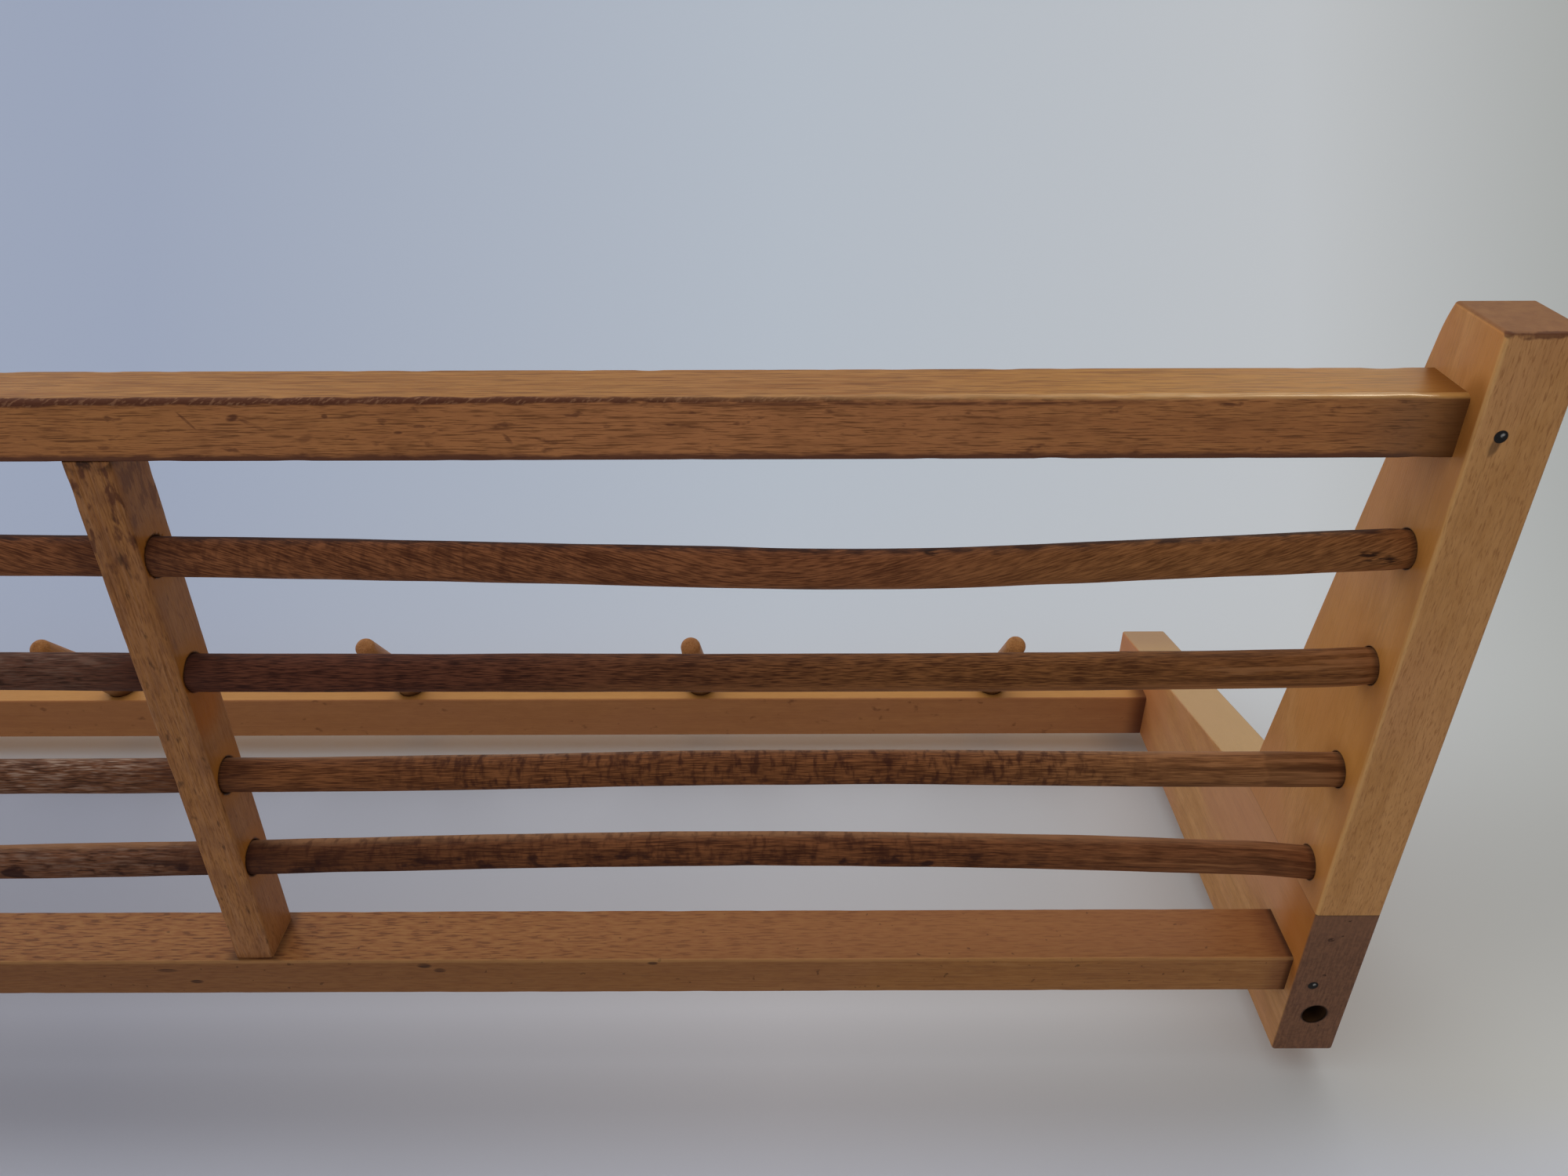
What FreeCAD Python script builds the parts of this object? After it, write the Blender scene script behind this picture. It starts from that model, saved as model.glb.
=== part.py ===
import FreeCAD, Part
import os
import re

import Sketcher

# Wall coat rack with a slatted hat shelf: two L-shaped end brackets, three rails, a centre support,
# four shelf dowels and a row of slanted coat pegs, all in wood.
#
# Frame: millimetres, +Z up, +X along the rack, the wall plane is Y = 0 and the front looks along -Y.
# The origin is the middle of the peg rail's back face, on the wall. Left is -X.

PEG_COUNT = 5
DOWEL_COUNT = 4
PIN_COUNT = 2
SIDES = {"left": -1, "right": 1}

SIZES = {
    # End brackets: a wall leg and a shelf arm in the same plank
    "inner_length": 763,
    "bracket_thickness": 23,
    "leg_height": 247.5,
    "leg_width": 72.5,
    "leg_tip_width": 29.5,
    "knee_drop": 72.6,
    "arm_reach": 284.2,
    "arm_tip_height": 27.6,
    "tip_curve_run": 11,
    "tip_curve_rise": 3.9,
    "edge_ease": 1.2,
    # Shelf rails and peg rail, with stub tenons of one length
    "rail_thickness": 18.6,
    "rail_height": 22,
    "rail_drop": 6.5,
    "rail_ease": 1,
    "front_rail_nose": 2,
    "front_rail_setback": 19.7,
    "back_rail_standoff": 27,
    "peg_rail_thickness": 23.5,
    "peg_rail_height": 28,
    "peg_rail_rise": 25.5,
    "tenon_length": 15,
    "tenon_shoulder": 3,
    # Shelf dowels, loose in their sockets
    "dowel_diameter": 12,
    "dowel_clearance": 0.3,
    "dowel_chamfer": 0.8,
    "dowel_below_rail_top": 8,
    "dowel_socket": 15,
    "dowel_leg_gap": 11.6,
    "dowel_rail_gap": 33.5,
    # Centre support between front and back rail
    "support_thickness": 13.6,
    "support_height": 19.5,
    "support_ease": 1,
    "support_tenon_length": 8,
    "support_tenon_height": 12,
    "support_tenon_thickness": 7,
    # Coat pegs
    "peg_base_diameter": 14,
    "peg_tip_diameter": 9,
    "peg_length": 76.4,
    "peg_tip_round": 3,
    "peg_foot_length": 12,
    "peg_tilt": 40.2,
    "peg_above_middle": 1.5,
    "peg_end_gap": 79.1,
    "peg_clearance": 0.1,
    # Fixings: nails through the rail tenons, pins across the bracket joints, slanted wall screws
    "nail_diameter": 1.8,
    "nail_length": 26,
    "nail_point": 3,
    "nail_head_diameter": 3.6,
    "nail_head_thickness": 0.8,
    "nail_inset": 7.4,
    "nail_clearance": 0.05,
    "pin_diameter": 8,
    "pin_length": 40,
    "pin_clearance": 0.05,
    "screw_hole_diameter": 9,
    "screw_hole_standoff": 20.5,
    "screw_hole_slant": 20,
}

# Places worked out from the sizes: heights are from the origin, drops are from the bracket's top
PLACES = {
    "bracket_top": "leg_height - peg_rail_rise - peg_rail_height / 2",
    "shelf_rail_top": "bracket_top - rail_drop",
    "shelf_rail_middle": "shelf_rail_top - rail_height / 2",
    "front_rail_face": "arm_reach - front_rail_setback",
    "front_rail_middle": "front_rail_face - rail_thickness / 2",
    "back_rail_face": "back_rail_standoff + rail_thickness",
    "back_rail_middle": "back_rail_standoff + rail_thickness / 2",
    "support_length": "front_rail_face - rail_thickness - back_rail_face",
    "support_middle": "back_rail_face + support_length / 2",
    "support_centre_height": "shelf_rail_top - support_height / 2",
    "dowel_height": "shelf_rail_top - dowel_below_rail_top",
    "dowel_first": "leg_width + dowel_leg_gap",
    "dowel_last": "front_rail_face - rail_thickness - dowel_rail_gap",
    "dowel_pitch": f"(dowel_last - dowel_first) / {DOWEL_COUNT - 1}",
    "dowel_hole_radius": "dowel_diameter / 2 + dowel_clearance",
    "peg_pitch": f"(inner_length - 2 * peg_end_gap) / {PEG_COUNT - 1}",
    "peg_socket_radius": "peg_base_diameter / 2 + peg_clearance",
    "nail_place": "inner_length / 2 + nail_inset",
    "nail_hole_radius": "nail_diameter / 2 + nail_clearance",
    "nail_seat_radius": "nail_head_diameter / 2 + nail_clearance",
    "pin_hole_radius": "pin_diameter / 2 + pin_clearance",
    "pin_pitch": f"(dowel_height - dowel_hole_radius - bracket_top + knee_drop) / {PIN_COUNT + 1}",
}

SMALL = 1e-6

doc = FreeCAD.newDocument("coat_rack")
sheet = doc.addObject("Spreadsheet::Sheet", "Sizes")
for row, (alias, value) in enumerate(SIZES.items(), start=1):
    sheet.set(f"A{row}", alias)
    sheet.set(f"B{row}", str(value))
    sheet.setAlias(f"B{row}", alias)
doc.recompute()


def formula(text):
    """The sheet expression for a formula in the names of sizes and places."""
    def spelled(match):
        word = match.group(0)
        if word in PLACES:
            return f"({formula(PLACES[word])})"
        return f"Sizes.{word}" if word in SIZES else word
    return re.sub(r"[a-z_]+", spelled, text)


def size(text):
    """The number that a formula gives now."""
    return float(sheet.evalExpression(formula(text)))


def bind(thing, **formulas):
    """Tie properties of a document object to formulas; a double underscore stands for a dot."""
    for name, text in formulas.items():
        thing.setExpression(name.replace("__", "."), formula(text))


def new_body(label):
    body = doc.addObject("PartDesign::Body", label)
    body.Label = label
    return body


def new_sketch(body, name, role, x="0", y="0", z="0", turn=None):
    """A sketch on one of the body's own planes, shifted in that plane's axes and turned about its X."""
    plane = next(plane for plane in body.Origin.OriginFeatures if plane.Role == role)
    sketch = body.newObject("Sketcher::SketchObject", f"{body.Label}_{name}")
    sketch.AttachmentSupport = [(plane, "")]
    sketch.MapMode = "FlatFace"
    if turn is not None:
        x_axis = FreeCAD.Vector(1, 0, 0)
        sketch.AttachmentOffset = FreeCAD.Placement(FreeCAD.Vector(), FreeCAD.Rotation(x_axis, size(turn)))
        bind(sketch, AttachmentOffset__Rotation__Angle=turn)
    bind(sketch, AttachmentOffset__Base__x=x, AttachmentOffset__Base__y=y, AttachmentOffset__Base__z=z)
    return sketch


def hold_point(sketch, item, end, across, up):
    """Fix one point of a sketch at two formulas, on an axis where the formula gives nothing."""
    for kind, axis, text in (("DistanceX", -2, across), ("DistanceY", -1, up)):
        if abs(size(text)) < SMALL:
            sketch.addConstraint(Sketcher.Constraint("PointOnObject", item, end, axis))
        else:
            number = sketch.addConstraint(Sketcher.Constraint(kind, -1, 1, item, end, size(text)))
            sketch.setExpression(f"Constraints[{number}]", formula(text))


def add_outline(sketch, corners, arc_after=None):
    """A closed outline through corners; the side after corner arc_after is an arc, tangent to the next."""
    points = [FreeCAD.Vector(size(across), size(up), 0) for across, up in corners]
    first = sketch.GeometryCount
    count = len(points)
    for number, start in enumerate(points):
        end = points[(number + 1) % count]
        if number == arc_after:
            after = points[(number + 2) % count]
            curve = tangent_arc(start, end, after - end)
        else:
            curve = Part.LineSegment(start, end)
        sketch.addGeometry(curve)
    arc_item = None if arc_after is None else first + arc_after
    for number, (across, up) in enumerate(corners):
        item = first + number
        following = first + (number + 1) % count
        item_end = 1 if item == arc_item and arc_runs_back(sketch, item, points[number]) else 2
        next_start = 1
        if following == arc_item and arc_runs_back(sketch, following, points[(number + 1) % count]):
            next_start = 2
        if item == arc_item:
            sketch.addConstraint(Sketcher.Constraint("Tangent", item, item_end, following, next_start))
        else:
            sketch.addConstraint(Sketcher.Constraint("Coincident", item, item_end, following, next_start))
        item_start = 3 - item_end
        hold_point(sketch, item, item_start, across, up)


def tangent_arc(start, end, direction):
    """The arc from start to end that leaves end along direction."""
    along = FreeCAD.Vector(direction).normalize()
    normal = FreeCAD.Vector(-along.y, along.x, 0)
    chord = start - end
    radius = chord.dot(chord) / (2 * chord.dot(normal))
    centre = end + normal * radius
    middle_way = ((start - centre) + (end - centre)).normalize()
    return Part.Arc(start, centre + middle_way * abs(radius), end)


def arc_runs_back(sketch, item, start):
    """Whether the sketch stored an arc from its far end, as it does with a clockwise one."""
    return (sketch.Geometry[item].StartPoint - start).Length > SMALL


def add_rectangle(sketch, across, up, width, height):
    """A rectangle about a middle point."""
    low_x, high_x = f"{across} - ({width}) / 2", f"{across} + ({width}) / 2"
    low_y, high_y = f"{up} - ({height}) / 2", f"{up} + ({height}) / 2"
    add_outline(sketch, [(low_x, low_y), (high_x, low_y), (high_x, high_y), (low_x, high_y)])


def add_circle(sketch, across, up, radius):
    centre = FreeCAD.Vector(size(across), size(up), 0)
    item = sketch.addGeometry(Part.Circle(centre, FreeCAD.Vector(0, 0, 1), size(radius)))
    hold_point(sketch, item, 3, across, up)
    number = sketch.addConstraint(Sketcher.Constraint("Radius", item, size(radius)))
    sketch.setExpression(f"Constraints[{number}]", formula(radius))


def pad(body, sketch, length, reverse=False, both_ways=False):
    feature = body.newObject("PartDesign::Pad", f"{sketch.Label}_pad")
    feature.Profile = sketch
    feature.Reversed = reverse
    feature.SideType = "Symmetric" if both_ways else "One side"
    bind(feature, Length=length)
    doc.recompute()
    return feature


def pocket(body, sketch, depth, reverse=False, both_ways=False):
    """A cut against the sketch's normal, or along it; it must take material away."""
    before = body.Shape.Volume
    feature = body.newObject("PartDesign::Pocket", f"{sketch.Label}_cut")
    feature.Profile = sketch
    feature.Reversed = reverse
    feature.SideType = "Symmetric" if both_ways else "One side"
    bind(feature, Length=depth)
    doc.recompute()
    if body.Shape.Volume >= before:
        raise RuntimeError(f"{feature.Label} cut nothing")


def ease_edges(body, radius, wanted):
    """Round the body's edges whose ends and middle all satisfy a test."""
    base = body.Tip
    names = []
    for number, edge in enumerate(base.Shape.Edges, start=1):
        points = [vertex.Point for vertex in edge.Vertexes] + [edge.CenterOfMass]
        if wanted(edge, points):
            names.append(f"Edge{number}")
    feature = body.newObject("PartDesign::Fillet", f"{body.Label}_ease_{base.Name}")
    feature.Base = (base, names)
    bind(feature, Radius=radius)
    doc.recompute()


def runs_along_x(edge, points):
    return abs(points[0].x - points[-1].x) > SMALL and abs(points[0].y - points[1].y) < SMALL


def cut_nail_hole(body, x, middle):
    """A nail's hole and the seat of its head, down from the bracket's top."""
    for name, radius, depth in (
        ("nail_hole", "nail_hole_radius", "nail_length"),
        ("nail_seat", "nail_seat_radius", "nail_head_thickness"),
    ):
        sketch = new_sketch(body, name, "XY_Plane", z="bracket_top")
        add_circle(sketch, x, f"-({middle})", radius)
        pocket(body, sketch, depth)


def pin_height(number):
    """A bracket pin's height: evenly between the knee and the lowest of the dowel sockets."""
    return f"bracket_top - knee_drop + {number + 1} * pin_pitch"


def dowel_place(number):
    """A dowel's distance from the wall, negative because the front looks along -Y."""
    return f"-(dowel_first + {number} * dowel_pitch)"


def cut_pin_holes(body, x, reverse):
    """Blind holes for the pins across the joint of leg and arm."""
    sketch = new_sketch(body, "pin_holes", "XZ_Plane", z="leg_width")
    for number in range(PIN_COUNT):
        add_circle(sketch, x, pin_height(number), "pin_hole_radius")
    pocket(body, sketch, "pin_length / 2", reverse)


def add_tenon_outline(sketch, middle, height, thickness, rail_height):
    shoulders = "2 * tenon_shoulder"
    width, tall = f"{thickness} - {shoulders}", f"{rail_height} - {shoulders}"
    add_rectangle(sketch, f"-({middle})", height, width, tall)


def wall_leg(name, side):
    """Upright half of a bracket: full width down to the knee, then tapering to its tip."""
    body = new_body(f"{name}_wall_leg")
    outline = new_sketch(body, "outline", "YZ_Plane")
    add_outline(outline, [
        ("0", "bracket_top"),
        ("-leg_width", "bracket_top"),
        ("-leg_width", "bracket_top - knee_drop"),
        ("-leg_tip_width", "bracket_top - leg_height"),
        ("0", "bracket_top - leg_height"),
    ])
    inward = side > 0
    pad(body, outline, "bracket_thickness", reverse=not inward)

    front = -size("leg_width")
    knee = size("bracket_top - knee_drop")

    def stays_sharp(points):
        on_joint = all(abs(point.y - front) < SMALL for point in points)
        return on_joint or all(abs(point.z - knee) < SMALL for point in points)

    ease_edges(body, "edge_ease", lambda edge, points: not stays_sharp(points))
    mortises = new_sketch(body, "mortises", "YZ_Plane")
    add_tenon_outline(mortises, "back_rail_middle", "shelf_rail_middle", "rail_thickness", "rail_height")
    add_tenon_outline(mortises, "peg_rail_thickness / 2", "0", "peg_rail_thickness", "peg_rail_height")
    pocket(body, mortises, "tenon_length", reverse=inward)
    cut_nail_hole(body, f"{side} * nail_inset", "back_rail_middle")
    cut_pin_holes(body, f"{side} * bracket_thickness / 2", reverse=False)

    # The screw hole starts above the top, so that its slanted end is cut clean, and leaves at the wall.
    lead = "screw_hole_diameter"
    reach = "screw_hole_standoff / sin(screw_hole_slant)"
    hole = new_sketch(
        body, "screw_hole", "XY_Plane",
        y=f"-screw_hole_standoff - {lead} * sin(screw_hole_slant)",
        z=f"bracket_top + {lead} * cos(screw_hole_slant)",
        turn="screw_hole_slant",
    )
    add_circle(hole, f"{side} * bracket_thickness / 2", "0", "screw_hole_diameter / 2")
    pocket(body, hole, f"{reach} + {lead} + screw_hole_diameter / tan(screw_hole_slant)")
    bind(body, Placement__Base__x=f"{side} * inner_length / 2")
    return body


def shelf_arm(name, side):
    """Level half of a bracket: its underside rises from the knee to a softly curved tip."""
    body = new_body(f"{name}_shelf_arm")
    outline = new_sketch(body, "outline", "YZ_Plane")
    curve_start = "-arm_reach + tip_curve_run"
    tip_corner = 2
    add_outline(outline, [
        ("-leg_width", "bracket_top"),
        ("-arm_reach", "bracket_top"),
        ("-arm_reach", "bracket_top - arm_tip_height"),
        (curve_start, "bracket_top - arm_tip_height - tip_curve_rise"),
        ("-leg_width", "bracket_top - knee_drop"),
    ], arc_after=tip_corner)
    inward = side > 0
    pad(body, outline, "bracket_thickness", reverse=not inward)

    joint = -size("leg_width")
    curve_y = size(curve_start)

    def stays_sharp(points):
        on_joint = all(abs(point.y - joint) < SMALL for point in points)
        on_curve_start = all(abs(point.y - curve_y) < SMALL for point in points)
        return on_joint or on_curve_start

    ease_edges(body, "edge_ease", lambda edge, points: not stays_sharp(points))
    mortise = new_sketch(body, "mortise", "YZ_Plane")
    add_tenon_outline(mortise, "front_rail_middle", "shelf_rail_middle", "rail_thickness", "rail_height")
    pocket(body, mortise, "tenon_length", reverse=inward)
    sockets = new_sketch(body, "dowel_sockets", "YZ_Plane")
    for number in range(DOWEL_COUNT):
        add_circle(sockets, dowel_place(number), "dowel_height", "dowel_hole_radius")
    pocket(body, sockets, "dowel_socket", reverse=inward)
    cut_nail_hole(body, f"{side} * nail_inset", "front_rail_middle")
    cut_pin_holes(body, f"{side} * bracket_thickness / 2", reverse=True)
    bind(body, Placement__Base__x=f"{side} * inner_length / 2")
    return body


def rail(label, middle, height, thickness, tall):
    """The plain bar of a rail, from bracket to bracket."""
    body = new_body(label)
    section = new_sketch(body, "section", "YZ_Plane")
    add_rectangle(section, f"-({middle})", height, thickness, tall)
    pad(body, section, "inner_length", both_ways=True)
    return body


def ease_rail(body, middle, height, nose=None):
    """Round a rail's long edges, its top front edge to the nose radius if it has one."""
    front = -size(middle)
    level = size(height)

    def is_nose(points):
        return points[0].y < front and points[0].z > level

    if nose:
        ease_edges(body, nose, lambda edge, points: runs_along_x(edge, points) and is_nose(points))
    ends = size("inner_length")

    def is_plain(edge, points):
        long_edge = runs_along_x(edge, points) and abs(edge.Length - ends) < SMALL
        return long_edge and not (nose and is_nose(points))

    ease_edges(body, "rail_ease", is_plain)


def add_tenons(body, middle, height, thickness, tall):
    section = new_sketch(body, "tenons", "YZ_Plane")
    add_tenon_outline(section, middle, height, thickness, tall)
    pad(body, section, "inner_length + 2 * tenon_length", both_ways=True)


def cut_rail_nail_holes(body, middle):
    sketch = new_sketch(body, "nail_holes", "XY_Plane", z="shelf_rail_top")
    for side in SIDES.values():
        add_circle(sketch, f"{side} * nail_place", f"-({middle})", "nail_hole_radius")
    pocket(body, sketch, "rail_height")


def cut_support_mortise(body, face, reverse):
    sketch = new_sketch(body, "support_mortise", "XZ_Plane", z=face)
    add_rectangle(sketch, "0", "support_centre_height", "support_tenon_thickness", "support_tenon_height")
    pocket(body, sketch, "support_tenon_length", reverse)


def shelf_rail(label, middle, support_face, faces_front, nose=None):
    body = rail(label, middle, "shelf_rail_middle", "rail_thickness", "rail_height")
    ease_rail(body, middle, "shelf_rail_middle", nose)
    add_tenons(body, middle, "shelf_rail_middle", "rail_thickness", "rail_height")
    cut_support_mortise(body, support_face, reverse=not faces_front)
    cut_rail_nail_holes(body, middle)
    return body


def peg_place(number):
    """A peg's distance along the rack: an even row, with the end gap left to each bracket."""
    return f"({number} - ({PEG_COUNT} - 1) / 2) * peg_pitch"


def peg_rail():
    """Rail against the wall, with a slanted blind socket for each peg."""
    middle = "peg_rail_thickness / 2"
    body = rail("peg_rail", middle, "0", "peg_rail_thickness", "peg_rail_height")
    ease_rail(body, middle, "0")
    add_tenons(body, middle, "0", "peg_rail_thickness", "peg_rail_height")

    # The cut starts one peg's width out in front of the rail, along the pegs' slant.
    lead = "peg_base_diameter"
    sockets = new_sketch(
        body, "peg_sockets", "XZ_Plane",
        y=f"peg_above_middle + {lead} * sin(peg_tilt)",
        z=f"peg_rail_thickness + {lead} * cos(peg_tilt)",
        turn="-peg_tilt",
    )
    for number in range(PEG_COUNT):
        add_circle(sockets, peg_place(number), "0", "peg_socket_radius")
    pocket(body, sockets, f"peg_foot_length + {lead}")
    return body


def coat_peg(number):
    """A turned peg: a plain foot in its socket, then a straight taper to a rounded tip."""
    body = new_body(f"coat_peg_{number + 1}")
    profile = new_sketch(body, "profile", "XZ_Plane")
    base, tip = "peg_base_diameter / 2", "peg_tip_diameter / 2"
    add_outline(profile, [
        ("0", "-peg_foot_length"),
        (base, "-peg_foot_length"),
        (base, "0"),
        (tip, "peg_length"),
        ("0", "peg_length"),
    ])
    turned = body.newObject("PartDesign::Revolution", f"{body.Label}_turned")
    turned.Profile = profile
    turned.ReferenceAxis = (profile, ["V_Axis"])
    turned.Angle = 360
    doc.recompute()
    tip_height = size("peg_length")
    ease_edges(
        body, "peg_tip_round",
        lambda edge, points: edge.Closed and all(abs(point.z - tip_height) < SMALL for point in points),
    )
    body.Placement = FreeCAD.Placement(
        FreeCAD.Vector(), FreeCAD.Rotation(FreeCAD.Vector(1, 0, 0), 90 - size("peg_tilt"))
    )
    bind(
        body,
        Placement__Base__x=peg_place(number),
        Placement__Base__y="-peg_rail_thickness",
        Placement__Base__z="peg_above_middle",
        Placement__Rotation__Angle="90 - peg_tilt",
    )
    return body


def shelf_dowel(number):
    """A round rod through the centre support, with its chamfered ends on the socket floors."""
    body = new_body(f"shelf_dowel_{number + 1}")
    section = new_sketch(body, "section", "YZ_Plane")
    add_circle(section, "0", "0", "dowel_diameter / 2")
    rod = pad(body, section, "inner_length + 2 * dowel_socket", both_ways=True)
    ends = body.newObject("PartDesign::Chamfer", f"{body.Label}_ends")
    rims = [f"Edge{i}" for i, edge in enumerate(rod.Shape.Edges, start=1) if edge.Closed]
    ends.Base = (rod, rims)
    bind(ends, Size="dowel_chamfer")
    bind(
        body,
        Placement__Base__y=dowel_place(number),
        Placement__Base__z="dowel_height",
    )
    return body


def centre_support():
    """Bar from back rail to front rail, bored for the dowels, with a small tenon at each end."""
    body = new_body("centre_support")
    section = new_sketch(body, "section", "XZ_Plane", z="support_middle")
    add_rectangle(section, "0", "support_centre_height", "support_thickness", "support_height")
    pad(body, section, "support_length", both_ways=True)
    ease_edges(body, "support_ease", lambda edge, points: abs(edge.Length - size("support_length")) < SMALL)
    tenons = new_sketch(body, "tenons", "XZ_Plane", z="support_middle")
    add_rectangle(tenons, "0", "support_centre_height", "support_tenon_thickness", "support_tenon_height")
    pad(body, tenons, "support_length + 2 * support_tenon_length", both_ways=True)
    bores = new_sketch(body, "dowel_bores", "YZ_Plane")
    for number in range(DOWEL_COUNT):
        add_circle(bores, dowel_place(number), "dowel_height", "dowel_hole_radius")
    pocket(body, bores, "support_thickness", both_ways=True)
    return body


def placed(kind, name, base, turned_about=None, angle=0, **formulas):
    """A simple solid with its sizes and its place tied to formulas."""
    solid = doc.addObject(kind, name)
    if turned_about is not None:
        solid.Placement = FreeCAD.Placement(FreeCAD.Vector(), FreeCAD.Rotation(turned_about, angle))
    x, y, z = base
    bind(solid, Placement__Base__x=x, Placement__Base__y=y, Placement__Base__z=z, **formulas)
    return solid


def group(label, solids):
    compound = doc.addObject("Part::Compound", label)
    compound.Label = label
    compound.Links = solids
    return compound


def rail_nails():
    """Finishing nails, heads flush with the bracket's top, through the tenons of both shelf rails."""
    nails = []
    for end, side in SIDES.items():
        for rail_name, middle in (("front", "front_rail_middle"), ("back", "back_rail_middle")):
            name = f"{end}_{rail_name}_nail"
            x, y = f"{side} * nail_place", f"-({middle})"
            down = {"turned_about": FreeCAD.Vector(1, 0, 0), "angle": 180}
            head = placed(
                "Part::Cylinder", f"{name}_head", (x, y, "bracket_top"), **down,
                Radius="nail_head_diameter / 2", Height="nail_head_thickness",
            )
            shank = placed(
                "Part::Cylinder", f"{name}_shank", (x, y, "bracket_top"), **down,
                Radius="nail_diameter / 2", Height="nail_length - nail_point",
            )
            point = placed(
                "Part::Cone", f"{name}_point", (x, y, "bracket_top - nail_length + nail_point"), **down,
                Radius1="nail_diameter / 2", Height="nail_point",
            )
            point.Radius2 = 0
            nail = doc.addObject("Part::MultiFuse", name)
            nail.Shapes = [head, shank, point]
            nails.append(nail)
    return group("rail_nails", nails)


def bracket_pins():
    """Wooden pins, half in the leg and half in the arm."""
    pins = []
    for end, side in SIDES.items():
        for number in range(PIN_COUNT):
            base = (
                f"{side} * (inner_length + bracket_thickness) / 2",
                "-leg_width + pin_length / 2",
                pin_height(number),
            )
            pins.append(placed(
                "Part::Cylinder", f"{end}_pin_{number + 1}", base, FreeCAD.Vector(1, 0, 0), 90,
                Radius="pin_diameter / 2", Height="pin_length",
            ))
    return group("bracket_pins", pins)


pieces = []
for end, side in SIDES.items():
    pieces.append(wall_leg(end, side))
    pieces.append(shelf_arm(end, side))
pieces.append(shelf_rail(
    "front_rail", "front_rail_middle", "front_rail_face - rail_thickness",
    faces_front=False, nose="front_rail_nose",
))
pieces.append(shelf_rail("back_rail", "back_rail_middle", "back_rail_face", faces_front=True))
pieces.append(peg_rail())
pieces.append(centre_support())
pieces.extend(shelf_dowel(number) for number in range(DOWEL_COUNT))
pieces.extend(coat_peg(number) for number in range(PEG_COUNT))
pieces.append(rail_nails())
pieces.append(bracket_pins())
doc.recompute()

for item in doc.Objects:
    if "Invalid" in item.State or "Error" in item.State:
        raise RuntimeError(f"{item.Label} failed: {item.State}")
for piece in pieces:
    if piece.Shape.isNull() or not piece.Shape.isValid():
        raise RuntimeError(f"{piece.Label} has no sound shape")

os.makedirs("parts", exist_ok=True)
for piece in pieces:
    piece.Shape.exportStep(f"parts/{piece.Label}.step")
    box = piece.Shape.BoundBox
    print(f"{piece.Label}: {len(piece.Shape.Solids)} solid(s), {piece.Shape.Volume:.0f} mm3,", end=" ")
    print(f"about {box.XLength:.0f} x {box.YLength:.0f} x {box.ZLength:.0f} mm")
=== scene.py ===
import math

import bpy
import numpy as np
from mathutils import Matrix, Vector


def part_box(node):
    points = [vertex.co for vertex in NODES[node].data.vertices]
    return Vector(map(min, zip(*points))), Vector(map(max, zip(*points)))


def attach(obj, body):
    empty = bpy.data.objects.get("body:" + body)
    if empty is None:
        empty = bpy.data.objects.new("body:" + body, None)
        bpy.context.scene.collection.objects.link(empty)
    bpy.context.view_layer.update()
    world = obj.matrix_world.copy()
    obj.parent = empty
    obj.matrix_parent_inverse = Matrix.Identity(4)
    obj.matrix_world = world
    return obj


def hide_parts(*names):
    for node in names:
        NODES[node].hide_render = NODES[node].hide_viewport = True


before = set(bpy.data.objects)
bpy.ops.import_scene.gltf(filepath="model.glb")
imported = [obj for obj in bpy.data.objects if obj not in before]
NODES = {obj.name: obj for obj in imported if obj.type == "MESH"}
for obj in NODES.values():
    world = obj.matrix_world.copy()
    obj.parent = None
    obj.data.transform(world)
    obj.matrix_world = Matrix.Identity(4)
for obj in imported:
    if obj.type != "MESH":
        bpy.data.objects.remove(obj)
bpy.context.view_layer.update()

# Looks of a wall coat rack with a hat shelf. Metres, in the frame of its solids: +X along the rack,
# the wall plane is Y = 0, the front looks along -Y, +Z is up. Left is -X.

MM = 0.001

ARM_LOW, ARM_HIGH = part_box("left_shelf_arm")
LEG_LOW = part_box("left_wall_leg")[0]
FRONT_LOW, FRONT_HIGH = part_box("front_rail")
BACK_LOW, BACK_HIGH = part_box("back_rail")
PEG_RAIL_LOW, PEG_RAIL_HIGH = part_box("peg_rail")
SUPPORT_LOW, SUPPORT_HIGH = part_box("centre_support")
NAIL_LOW, NAIL_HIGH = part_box("rail_nails")
HALF_INSIDE = -ARM_HIGH.x
BRACKET_TOP = ARM_HIGH.z
RAIL_TOP = FRONT_HIGH.z
BRACKET_MIDDLE = -(ARM_LOW.x + ARM_HIGH.x) / 2

# Sizes of the solids that their boxes don't show
KNEE = BRACKET_TOP - 72.6 * MM
LEG_TIP = 29.5 * MM
SCREW_ENTRY = -20.5 * MM
SCREW_SLANT = math.radians(20)
SCREW_RADIUS = 4.5 * MM
PEG_TILT = math.radians(-40.2)
PEG_FOOT_HEIGHT = 1.5 * MM
NAIL_RADIUS = 1.8 * MM
NAIL_X = NAIL_HIGH.x - NAIL_RADIUS
FRONT_NAIL_Y = NAIL_LOW.y + NAIL_RADIUS
BACK_NAIL_Y = NAIL_HIGH.y - NAIL_RADIUS

DOWELS = range(1, 1 + sum(name.startswith("shelf_dowel") for name in NODES))
WALL_DOWEL, THIRD_DOWEL, SECOND_DOWEL, FRONT_DOWEL = DOWELS
PEGS = range(1, 1 + sum(name.startswith("coat_peg") for name in NODES))


# Numbers that wander

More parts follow.
